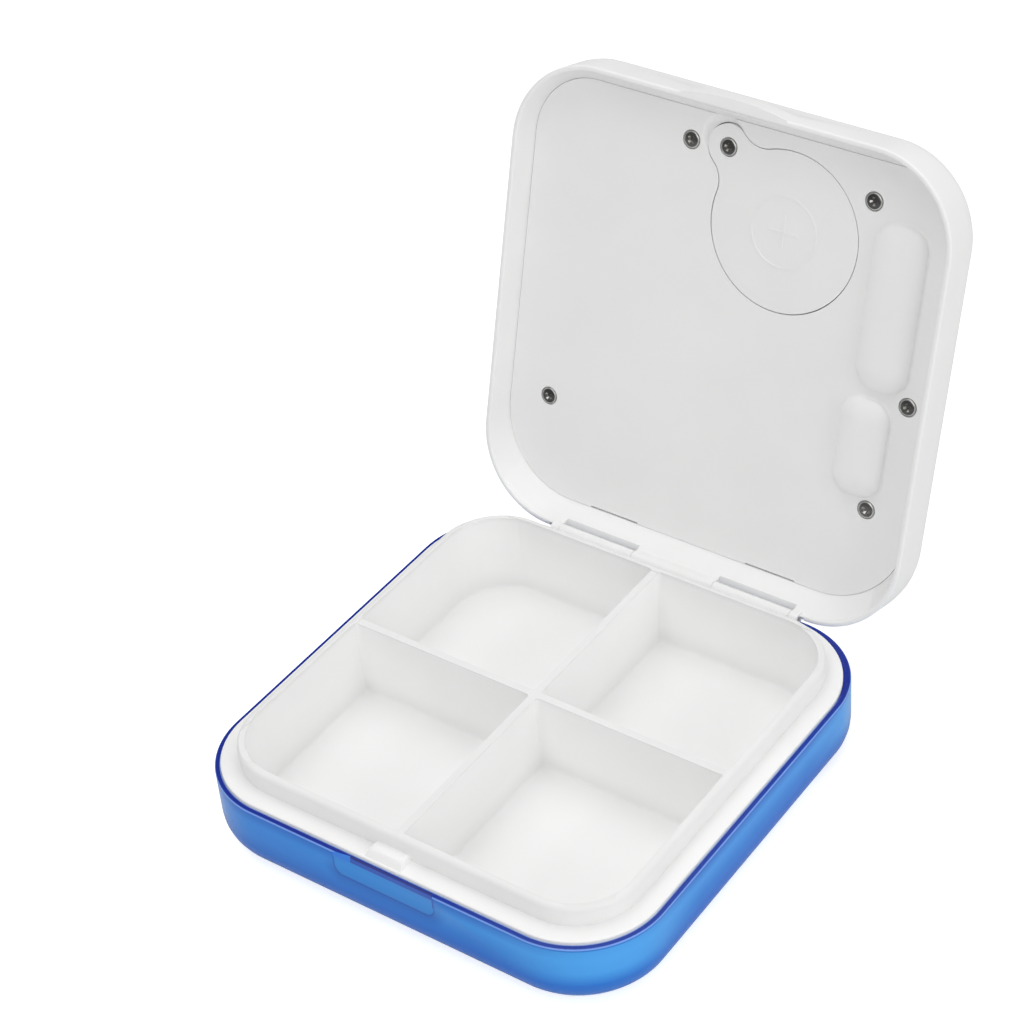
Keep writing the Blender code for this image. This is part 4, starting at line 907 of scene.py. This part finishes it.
def pocket(side_x, side_y):
    """One compartment, drafted, with a round outer corner and a filleted floor."""
    outer = HALF - LIP_INSET - LIP_WALL
    corner = CORNER - LIP_INSET - LIP_WALL
    rise = LIP_Z + OVERRUN - TRAY_FLOOR_Z
    sections = []
    for inset, height in list(reversed(rounding(FLOOR_FILLET, 6))) + [(0, rise)]:
        draft = 1 - height / rise
        near = DIVIDER_WALL / 2 + DIVIDER_DRAFT * draft + inset
        far = outer - TRAY_DRAFT * draft - inset
        radius = corner - inset
        inner = POCKET_CORNER
        near_y = near + side_y * DIVIDER_SHIFT
        points = corner_arc(near + inner, near_y + inner, inner, 2 * QUARTER_TURN, QUARTER_TURN, 6)
        points += corner_arc(far - inner, near_y + inner, inner, 3 * QUARTER_TURN, QUARTER_TURN, 6)
        points += corner_arc(far - radius, far - radius, radius, 0)
        points += corner_arc(near + inner, far - inner, inner, QUARTER_TURN, QUARTER_TURN, 6)
        points = [(side_x * x, side_y * y) for x, y in points]
        if side_x * side_y < 0:
            points.reverse()
        sections.append((points, TRAY_FLOOR_Z + height))
    return loft(sections)


def latch_catch():
    """Low catch of the tray's flange, sloping to the rim and rounded along its top."""
    rear = -HALF + LIP_INSET + EMBED
    top = BASE_HEIGHT + CATCH_RISE
    steps = [(0, CATCH_SLOPE, FLANGE_Z - EMBED)]
    for inset, drop in rounding(CATCH_ROUND, 4):
        steps.append((inset, CATCH_SLOPE * drop / CATCH_RISE, top - drop))
    sections = []
    for inset, slope, z in steps:
        front = -HALF + LIP_INSET - CATCH_REACH - slope + inset
        low_x, high_x = about(CATCH_SHIFT, CATCH_WIDTH / 2 + slope / 3 - inset)
        sections.append(([(low_x, front), (high_x, front), (high_x, rear), (low_x, rear)], z))
    return loft(sections)


def make_inner_tray():
    flange_low = FLANGE_Z - FLANGE_THICKNESS
    tab_low = BASE_HEIGHT - TAB_DROP - TAB_HEIGHT + EMBED
    inside = HALF - LIP_INSET - LIP_WALL - GAP
    block = plan_block(
        square_plan(LIP_INSET), TRAY_UNDER_Z, LIP_Z, TRAY_EDGE_ROUND, LIP_ROUND, TRAY_DRAFT)
    item = carved("white_tray", block, [
        ("flange", JOIN, plan_block(rim_plan(RIM_WALL + FLANGE_GAP), flange_low, FLANGE_Z, 0, FINE_GAP)),
        ("catch", JOIN, latch_catch()),
        ("tabs", JOIN, both_sides(lambda side: snap_tab(side, 0))),
        ("roots", JOIN, both_sides(lambda side: box(
            ordered(side, HALF - LIP_INSET - LIP_WALL / 2, HALF - SHELL_WALL - GAP),
            about(TAB_SHIFT, TAB_WIDTH / 2 - GAP), (tab_low, BASE_HEIGHT - GAP)))),
        ("ear_reliefs", CUT, combined([box(
            (low_x - GAP, high_x + GAP), (HALF - EAR_RADIUS - GAP, HALF + OVERRUN),
            (BASE_HEIGHT - SEAT_DROP - OVERRUN, LID_TOP_Z)) for low_x, high_x in ear_spans()])),
        ("arms", JOIN, both_sides(lambda side: box(
            knuckle_ends(side), (HALF - NOTCH_DEPTH + GAP, HALF), (flange_low + WELD, FLANGE_Z - WELD)))),
        ("knuckles", JOIN, both_sides(lambda side: hinge_bar(KNUCKLE_RADIUS, knuckle_ends(side)))),
        ("pin_holes", CUT, pin_holes()),
        ("pockets", CUT, combined([pocket(sx, sy) for sx in (-1, 1) for sy in (-1, 1)])),
        ("tops", CUT, box(about(0, inside), about(0, inside), (LIP_Z - DIVIDER_DROP, LIP_Z + OVERRUN))),
    ])
    finish_piece(item, "base", TRAY_WHITE, ["inner_tray"])


# Lid pieces

def rim_recess():
    """Space that the tray's lip fills when the lid is shut, up to the panel's ledge."""
    mouth = [(plan_points(square_plan(RIM_LIP - LID_RIM_ROUND)), LID_RIM_Z - OVERRUN)]
    for shift, rise in reversed(rounding(LID_RIM_ROUND)):
        mouth.append((plan_points(square_plan(RIM_LIP - shift)), LID_RIM_Z + rise))
    return loft(mouth + [
        (plan_points(square_plan(RIM_LIP)), LID_RIM_Z + REAR_LAND_RISE),
        (plan_points(seam_plan(0)), PANEL_Z),
        (plan_points(seam_plan(0)), PANEL_TOP_Z + GAP),
    ])


def screw_spots():
    """Places of the panel's screws, then of the door's."""
    return [spot(shares) for shares in PANEL_SCREW_SHARES] + [DOOR_SCREW_SPOT]


def battery_bay():
    """Ring wall round the coin cell, open towards the circuit board for the contacts."""
    x, y = CELL_SPOT
    inner = CELL_RADIUS + BAY_CLEARANCE
    outer = inner + BAY_WALL
    opening = math.asin(BAY_SLOT / 2 / inner)
    start = QUARTER_TURN + opening
    sweep = 4 * QUARTER_TURN - 2 * opening
    outline = corner_arc(x, y, outer, start, sweep, 96)
    outline += reversed(corner_arc(x, y, inner, start, sweep, 96))
    return prism(outline, PANEL_TOP_Z + TIGHT_GAP, LID_TOP_Z - LID_TOP_WALL + EMBED)


def thumb_lip():
    """Shallow bulge of the front rim for a fingertip, a slice of a wide circle."""
    half_chord = BULGE_LIP_WIDTH / 2

    def outline(inset):
        reach = BULGE_LIP_REACH - inset
        radius = (half_chord ** 2 + reach ** 2) / (2 * reach)
        half_angle = math.asin(half_chord / radius)
        points = corner_arc(
            0, radius - HALF - reach, radius, 3 * QUARTER_TURN - half_angle, 2 * half_angle, 32)
        return points + [(half_chord, EMBED - HALF), (-half_chord, EMBED - HALF)]

    return rounded(outline, LID_RIM_Z, LID_RIM_Z + BULGE_LIP_HEIGHT, 0, BULGE_LIP_ROUND)


def window_frame():
    """Sloped frame round the display's opening."""
    steps = ((-FRAME_DEPTH, 0), (FRAME_DEPTH / 2, FRAME_WIDTH * 3 / 2))
    return loft([(window_points(grow, WINDOW_CORNER + grow), LID_TOP_Z + rise) for rise, grow in steps])


def sloped_bar(width, depth):
    """One bar of the lid's cross, as a shallow recess with sloping sides."""
    sections = []
    for rise, grow in ((-CROSS_DEPTH, 0), (CROSS_DEPTH, 2 * CROSS_SLOPE)):
        outline = rectangle_points(width, depth, spot(CROSS_SPOT_SHARES), FINE_GAP + grow, grow)
        sections.append((outline, LID_TOP_Z + rise))
    return loft(sections)


def lid_openings():
    """Holes of the lid's top wall and of its bosses."""
    top = LID_TOP_Z + OVERRUN
    under = LID_TOP_Z - LID_TOP_WALL - OVERRUN
    outlines = [window_points(0)] + [button_points(share, TIGHT_GAP) for _, share in BUTTONS]
    shapes = [prism(outline, under, top) for outline in outlines]
    shapes.append(upright(LED_HOLE, spot(LED_SPOT_SHARES), under, top))
    hole_top = PANEL_Z - HEAD_PROUD + HEAD_THICKNESS + SHANK_LENGTH + GAP
    for place in screw_spots():
        shapes.append(upright(SHANK_RADIUS + RUNNING_GAP, place, PANEL_TOP_Z - OVERRUN, hole_top, 24))
    return combined(shapes)


def make_lid_shell():
    under = LID_TOP_Z - LID_TOP_WALL
    block = plan_block(square_plan(0), LID_RIM_Z, LID_TOP_Z, LID_RIM_ROUND, LID_EDGE_ROUND)
    item = carved("white_lid", block, [
        ("thumb_lip", JOIN, thumb_lip()),
        ("recess", CUT, rim_recess()),
        ("room", CUT, plan_block(seam_plan(PANEL_LEDGE), PANEL_TOP_Z - OVERRUN, under, 0, INNER_ROUND)),
        ("latch", CUT, box(
            about(0, LATCH_WIDTH / 2), (-HALF + LIP_INSET - CATCH_REACH - GAP, -HALF + LIP_INSET),
            (LID_RIM_Z - OVERRUN, LID_RIM_Z + LATCH_HEIGHT))),
        ("bosses", JOIN, combined([
            upright(BOSS_RADIUS, place, PANEL_TOP_Z + TIGHT_GAP, under + EMBED, 32)
            for place in screw_spots()])),
        ("bay", JOIN, battery_bay()),
        ("notches", CUT, both_sides(lambda side: box(
            ordered(side, KNUCKLE_INNER - GAP, KNUCKLE_OUTER + GAP), (HALF - NOTCH_DEPTH, HALF + OVERRUN),
            (LID_RIM_Z - OVERRUN, LID_RIM_Z + ARM_ROOM)))),
        ("ears", JOIN, combined([hinge_bar(EAR_RADIUS, span) for span in ear_spans()])),
        ("roots", JOIN, combined([box(
            (low_x + WELD, high_x - WELD), (HALF - EAR_RADIUS + WELD, HALF - WELD),
            (HINGE_POINT.z, LID_RIM_Z + NOTCH_HEIGHT)) for low_x, high_x in ear_spans()])),
        ("ear_holes", CUT, pin_holes()),
        ("openings", CUT, lid_openings()),
        ("cross_across", CUT, sloped_bar(CROSS_LENGTH, CROSS_ARM)),
        ("cross_along", CUT, sloped_bar(CROSS_ARM, CROSS_LENGTH)),
        ("frame", CUT, window_frame()),
        ("window_room", CUT, prism(
            window_points(WINDOW_FLANGE + FINE_GAP), under - OVERRUN, LID_TOP_Z - WINDOW_SUNK + FINE_GAP)),
    ])
    finish_piece(item, "lid", WHITE, ["lid_shell"])


def swell(width, length, corner, centre):
    """Soft bulge of the panel towards the tray, half an ellipse in section that flares at its foot."""
    crown = POCKET_DEPTH - SWELL_FOOT
    side = SWELL_SHARE * width / 2
    steps = [(side * drop, crown * inset) for inset, drop in rounding(1, 2 * EDGE_STEPS)]
    steps += [(-SWELL_FOOT * inset, crown + SWELL_FOOT * (1 - drop)) for inset, drop in rounding(1)[1:]]
    steps.append((-SWELL_FOOT, POCKET_DEPTH + EMBED))
    return loft([
        (rectangle_points(width, length, centre, max(corner - inset, SWELL_CROWN), -inset),
         PANEL_Z - POCKET_DEPTH + height) for inset, height in steps])


def pocket_hollow(width, length, corner, centre):
    """Hollow behind a bulge, with its lower edge rounded over."""
    def outline(inset):
        wall = POCKET_WALL + inset
        return rectangle_points(width, length, centre, corner - wall, -wall)

    low = PANEL_Z - POCKET_DEPTH + POCKET_WALL
    return rounded(outline, low, PANEL_TOP_Z + OVERRUN, POCKET_ROUND - EMBED)


def slot_box(side):
    """Shallow slot of the panel's rear edge."""
    rear = HALF - SEAM_REAR
    return box(about(side * SLOT_SPOT_SHARE * HALF, SLOT_WIDTH / 2), (rear - SLOT_DEPTH, rear + OVERRUN),
               (PANEL_Z - OVERRUN, PANEL_Z + SLOT_SUNK))


def make_lid_panel():
    places = screw_spots()[:-1]
    opening = prism(door_points(DOOR_SEAM), PANEL_Z - OVERRUN, PANEL_TOP_Z + OVERRUN)
    item = carved("inner_face", plan_block(seam_plan(PANEL_SEAM), PANEL_Z, PANEL_TOP_Z), [
        ("bulges", JOIN, combined([swell(*sizes) for sizes in POCKETS])),
        ("hollows", CUT, combined([pocket_hollow(*sizes) for sizes in POCKETS])),
        ("pry_recess", CUT, dish(PRY_RADIUS, PRY_DEPTH, PRY_SPOT)),
        ("door_opening", CUT, opening),
        ("counterbores", CUT, combined([counterbore(place) for place in places])),
        ("bores", CUT, combined([screw_bore(place) for place in places])),
        ("slots", CUT, both_sides(slot_box)),
    ])
    finish_piece(item, "lid", WHITE, ["lid_panel"])


def dish(radius, depth, place):
    """Shallow round recess of the inner face, whose side curves into its floor and over its edge."""
    steps = [(radius, -OVERRUN)]
    for k in range(2 * EDGE_STEPS + 1):
        share = k / (2 * EDGE_STEPS)
        fall = (1 - math.cos(2 * QUARTER_TURN * share)) / 2
        steps.append((radius - 2 * depth * share, depth * fall))
    return turned([(reach, PANEL_Z + height) for reach, height in steps], place)


def counterbore(place):
    """Round recess of the inner face for a screw's head."""
    return upright(HEAD_RADIUS + TIGHT_GAP, place, PANEL_Z - OVERRUN, PANEL_Z + COUNTERBORE_DEPTH)


def screw_bore(place):
    return upright(SHANK_RADIUS + FINE_GAP, place, PANEL_Z, PANEL_TOP_Z + OVERRUN, 32)


def make_battery_door():
    zs = (PANEL_Z - MARK_RISE, PANEL_Z + EMBED)
    x, y = CELL_SPOT
    reach = MARK_RADIUS / 2
    arm = MARK_LINE / 2
    block = rounded(lambda inset: door_points(-inset), PANEL_Z, PANEL_TOP_Z, DOOR_ROUND)
    item = carved("round_door", block, [
        ("ring_mark", JOIN, ring(MARK_RADIUS + MARK_LINE, MARK_RADIUS, CELL_SPOT, *zs)),
        ("plus_across", JOIN, box(about(x, reach), about(y, arm), zs)),
        ("plus_along", JOIN, box(about(x, arm), about(y, reach), zs)),
        ("counterbore", CUT, counterbore(DOOR_SCREW_SPOT)),
        ("bore", CUT, screw_bore(DOOR_SCREW_SPOT)),
    ])
    finish_piece(item, "lid", WHITE, ["battery_door"])


def painted_glint_face(face, place):
    """Whether a face of a screw's head takes a painted glint: its outer ring or a side of its cross recess.
    """
    reach = (face.center.xy - Vector(place)).length / HEAD_RADIUS
    floor_z = PANEL_Z - HEAD_PROUD + RECESS_DEPTH
    in_recess = reach < RECESS_SHARE and abs(face.normal.z) < LEVEL_NORMAL and face.center.z < floor_z
    return in_recess or GLINT_RING_SHARES[0] < reach < GLINT_RING_SHARES[1]


def screw_profile(head_z):
    """Radius and height of a screw's domed head and ridged shank, from its face up."""
    profile = []
    for angle in map(math.radians, DOME_ANGLES):
        profile.append((HEAD_RADIUS * math.sin(angle), head_z + HEAD_DOME * (1 - math.cos(angle))))
    shank_z = head_z + HEAD_THICKNESS
    profile += [(HEAD_RADIUS, head_z + HEAD_EDGE), (HEAD_RADIUS, shank_z), (SHANK_RADIUS, shank_z)]
    for k in range(1, int(SHANK_LENGTH / THREAD_PITCH) - 1):
        for radius, share in zip((THREAD_CORE, SHANK_RADIUS, THREAD_CORE), THREAD_SHARES):
            profile.append((radius, shank_z + (k + share) * THREAD_PITCH))
    end_z = shank_z + SHANK_LENGTH
    return profile + [(THREAD_CORE, end_z - SHANK_RADIUS), (TIP_RADIUS, end_z)]


def recess_bar(place, turn, head_z):
    """One tapered bar of a screw's cross recess."""
    sections = []
    spin = Matrix.Rotation(turn, 2)
    for z, sizes in ((head_z - OVERRUN / 4, RECESS_MOUTH), (head_z + RECESS_DEPTH, RECESS_FLOOR)):
        outline = [spin @ Vector(point) for point in rectangle_points(*sizes, (0, 0), WELD, steps=1)]
        sections.append(([tuple(point + Vector(place)) for point in outline], z))
    return loft(sections)


def make_screw(name, place, turn):
    """Domed head with a tapered cross recess, over a ridged shank."""
    head_z = PANEL_Z - HEAD_PROUD
    item = carved(name + "_fine", turned(screw_profile(head_z), place, 48), [
        ("bar_one", CUT, recess_bar(place, turn, head_z)),
        ("bar_two", CUT, recess_bar(place, turn + QUARTER_TURN, head_z)),
    ])
    # Painted glints: the head's outer ring and the sides of its cross recess take the lighter steel, over the
    # dark steel's painted dark reflection.
    tones = [int(painted_glint_face(face, place)) for face in item.data.polygons]
    finish_piece(item, "lid", DARK_STEEL_PAINTED_REFLECTION, [name])
    add_tones(item, (STEEL,), tones)


def make_button(label, share):
    """Push button: a cap in the lid's top wall, with a flange behind the wall and a printed mark."""
    top = LID_TOP_Z + BUTTON_PROUD
    cap = rounded(
        lambda inset: button_points(share, -inset), BUTTON_LOW + BUTTON_FLANGE_WALL / 2, top, 0, BUTTON_ROUND)
    flange = prism(button_points(share, BUTTON_FLANGE), BUTTON_LOW, BUTTON_LOW + BUTTON_FLANGE_WALL)
    item = carved(label + "_cap", cap, [("flange", JOIN, flange)])
    finish_piece(item, label + "_key", WHITE, [label + "_button"])
    mark = button_mark(label, spot((share, BUTTON_ROW_SHARE)), about(top, INK_THICKNESS))
    finish_piece(loose_object(label + "_mark", combined(mark)), label + "_key", PRINT)


def arrow(x, y, zs):
    """Triangle that points to the right."""
    half = PRINT_SIZE / 2
    return prism([(x - ARROW_REACH, y - half), (x + ARROW_REACH, y), (x - ARROW_REACH, y + half)], *zs)


def button_mark(label, centre, zs):
    """Plain signs: two arrows, a ring between bars, or one arrow."""
    x, y = centre
    radius = PRINT_SIZE / 2
    if label == "hour":
        return [arrow(x + side * radius, y, zs) for side in (-1, 1)]
    if label == "minute":
        return [arrow(x, y, zs)]
    shapes = [ring(radius, radius - PRINT_LINE, centre, *zs, 40), upright(PRINT_LINE / 2, centre, *zs, 24)]
    for side in (-1, 1):
        low_x, high_x = ordered(side, *RING_BAR)
        shapes.append(box((x + low_x, x + high_x), about(y, PRINT_LINE / 2), zs))
    return shapes


def pane(name, margin, low, high):
    """Flat pane behind the display's opening."""
    return loose_object(name, rounded(lambda inset: window_points(margin - inset), low, high, 0, PANE_ROUND))


def make_display():
    top = LID_TOP_Z - WINDOW_SUNK
    finish_piece(pane("window_pane", WINDOW_FLANGE, top - WINDOW_WALL, top), "lid", CLEAR,
                 ["display_window"])
    finish_piece(pane("crystal_glass", GLASS_MARGIN, GLASS_TOP_Z - GLASS_WALL, GLASS_TOP_Z), "lid", DISPLAY,
                 ["lcd_glass"])
    zs = about(GLASS_TOP_Z, INK_THICKNESS)
    # Dark line round the crystal's edge: painted shade from the walls of the window's opening.
    inside = prism(window_points(-EDGE_LINE), zs[0] - OVERRUN, zs[1] + OVERRUN)
    item = carved("display_edge", prism(window_points(EDGE_LINE / 2), *zs), [("inside", CUT, inside)])
    finish_piece(item, "lid", DIGIT)
    lit, faint = bell_outlines(), []
    for x, shown in DIGITS:
        for name, outline in segments(x, DIGIT_ROW, *DIGIT_SIZES).items():
            (lit if name in shown else faint).append(outline)
    small = segments(*COUNT_SPOT, *COUNT_SIZES)
    lit += [small[name] for name in "abgcd"]
    lit_shapes = [upright(COLON_RADIUS, place, *zs, 32) for place in COLON]
    lit_shapes += [prism(outline, *zs) for outline in lit]
    faint_shapes = [prism(outline, *zs) for outline in faint]
    finish_piece(loose_object("lit_segments", combined(lit_shapes)), "lid", DIGIT)
    finish_piece(loose_object("faint_segments", combined(faint_shapes)), "lid", FAINT)


def segments(x, y, width, height, bar, gap):
    """Outlines of a digit's seven segments, by their usual letters, slightly slanted."""
    right, top = width / 2, height / 2
    inner = right - bar
    across = [(gap - right, top), (gap - inner, top - bar), (inner - gap, top - bar), (right - gap, top)]
    middle = [(gap + bar / 2 - right, 0), (gap - inner, -bar / 2), (inner - gap, -bar / 2),
              (right - bar / 2 - gap, 0), (inner - gap, bar / 2), (gap - inner, bar / 2)]
    upper = [(right, top - gap), (inner, top - bar - gap), (inner, bar / 2 + gap),
             (right - bar / 2, gap), (right, gap)]
    outlines = {
        "a": across,
        "b": upper,
        "c": [(px, -py) for px, py in reversed(upper)],
        "d": [(px, -py) for px, py in reversed(across)],
        "e": [(-px, -py) for px, py in upper],
        "f": [(-px, py) for px, py in reversed(upper)],
        "g": middle,
    }
    for name, outline in outlines.items():
        outlines[name] = [(x + px + DIGIT_SLANT * py, y + py) for px, py in outline]
    return outlines


def bell_outlines():
    """Bell sign: a dome on a brim, with its clapper."""
    x, y = BELL_SPOT
    reach, drop = BELL_BRIM
    half, low, high = BELL_CLAPPER
    dome = corner_arc(x, y, BELL_DOME, 0, 2 * QUARTER_TURN, 12)
    return [[(x - reach, y - drop), (x + reach, y - drop)] + dome,
            [(x - half, y - low), (x + half, y - low), (x + half, y - high), (x - half, y - high)]]


def make_lid():
    make_lid_shell()
    make_lid_panel()
    make_battery_door()
    for number, shares in enumerate(PANEL_SCREW_SHARES, 1):
        make_screw("panel_screw_" + str(number), spot(shares), number * PANEL_SCREW_TURN)
    make_screw("battery_door_screw", DOOR_SCREW_SPOT, DOOR_SCREW_TURN)
    for label, share in BUTTONS:
        make_button(label, share)
    make_display()


# Stage

def make_floor():
    span = about(0, FLOOR_REACH)
    floor = loose_object("floor", box(span, span, (-FLOOR_DEPTH, 0)))
    material = bpy.data.materials.new("pale_floor")
    material.use_nodes = True
    tree = material.node_tree
    tree.nodes.clear()
    ray = node(tree, "LightPath").outputs["Is Camera Ray"]
    glow = node(tree, "Emission", [("Strength", product(tree, ray, FLOOR_GLOW))])
    matte = node(tree, "BsdfDiffuse", [("Color", (*grey(FLOOR_TONE), 1))])
    both = node(tree, "AddShader", [(0, glow.outputs[0]), (1, matte.outputs[0])])
    node(tree, "OutputMaterial", [("Surface", both.outputs[0])])
    floor.data.materials.append(material)


def make_world():
    world = bpy.data.worlds.new("studio")
    bpy.context.scene.world = world
    world.use_nodes = True
    tree = world.node_tree
    tree.nodes.clear()
    ray = node(tree, "LightPath").outputs["Is Camera Ray"]
    strength = between(tree, ray, 0.0, 1.0, ROOM_LIGHT)
    glow = node(tree, "Background", [("Color", (1, 1, 1, 1)), ("Strength", strength)])
    node(tree, "OutputWorld", [("Surface", glow.outputs[0])])


def area_light(name, place, aim, size, power):
    light = bpy.data.lights.new(name, "AREA")
    light.size = size
    light.energy = power
    item = bpy.data.objects.new(name, light)
    item.location = place
    item.rotation_euler = (Vector(aim) - Vector(place)).to_track_quat("-Z", "Y").to_euler()
    bpy.context.scene.collection.objects.link(item)


def make_camera():
    """Camera at the photograph's own place, aim, roll and lens."""
    forward = Vector(CAMERA_AIM).normalized()
    level = forward.cross(Vector((0, 0, 1))).normalized()
    upward = level.cross(forward)
    right = level * math.cos(CAMERA_ROLL) - upward * math.sin(CAMERA_ROLL)
    up = right.cross(forward)
    camera = bpy.data.cameras.new("camera")
    camera.lens = CAMERA_LENS
    camera.sensor_width = 36
    camera.shift_x, camera.shift_y = CAMERA_SHIFT
    camera.clip_start = 0.01
    item = bpy.data.objects.new("camera", camera)
    turn = Matrix((right, up, -forward)).transposed().to_4x4()
    item.matrix_world = Matrix.Translation(CAMERA_SPOT) @ turn
    bpy.context.scene.collection.objects.link(item)
    bpy.context.scene.camera = item


def dress_nodes():
    """Give the nodes that stay in view the finish of their slot."""
    finishes = {
        "steel": STEEL, "cell_metal": CELL_METAL, "brass": BRASS, "black_plastic": BLACK,
        "board_green": BOARD, "connector_rubber": RUBBER, "led_lens": LENS,
    }
    for subpart in frame["record"]["subparts"]:
        finish = finishes.get(subpart["material_slot"])
        item = frame["nodes"][subpart["node"]]
        if finish and not item.hide_render:
            for holder in item.material_slots:
                holder.material = finish


make_outer_shell()
make_inner_tray()
make_lid()
dress_nodes()
make_floor()
make_world()
for light_name, settings in LIGHTS.items():
    area_light(light_name, *settings)
make_camera()
bpy.context.scene.view_settings.view_transform = "Standard"
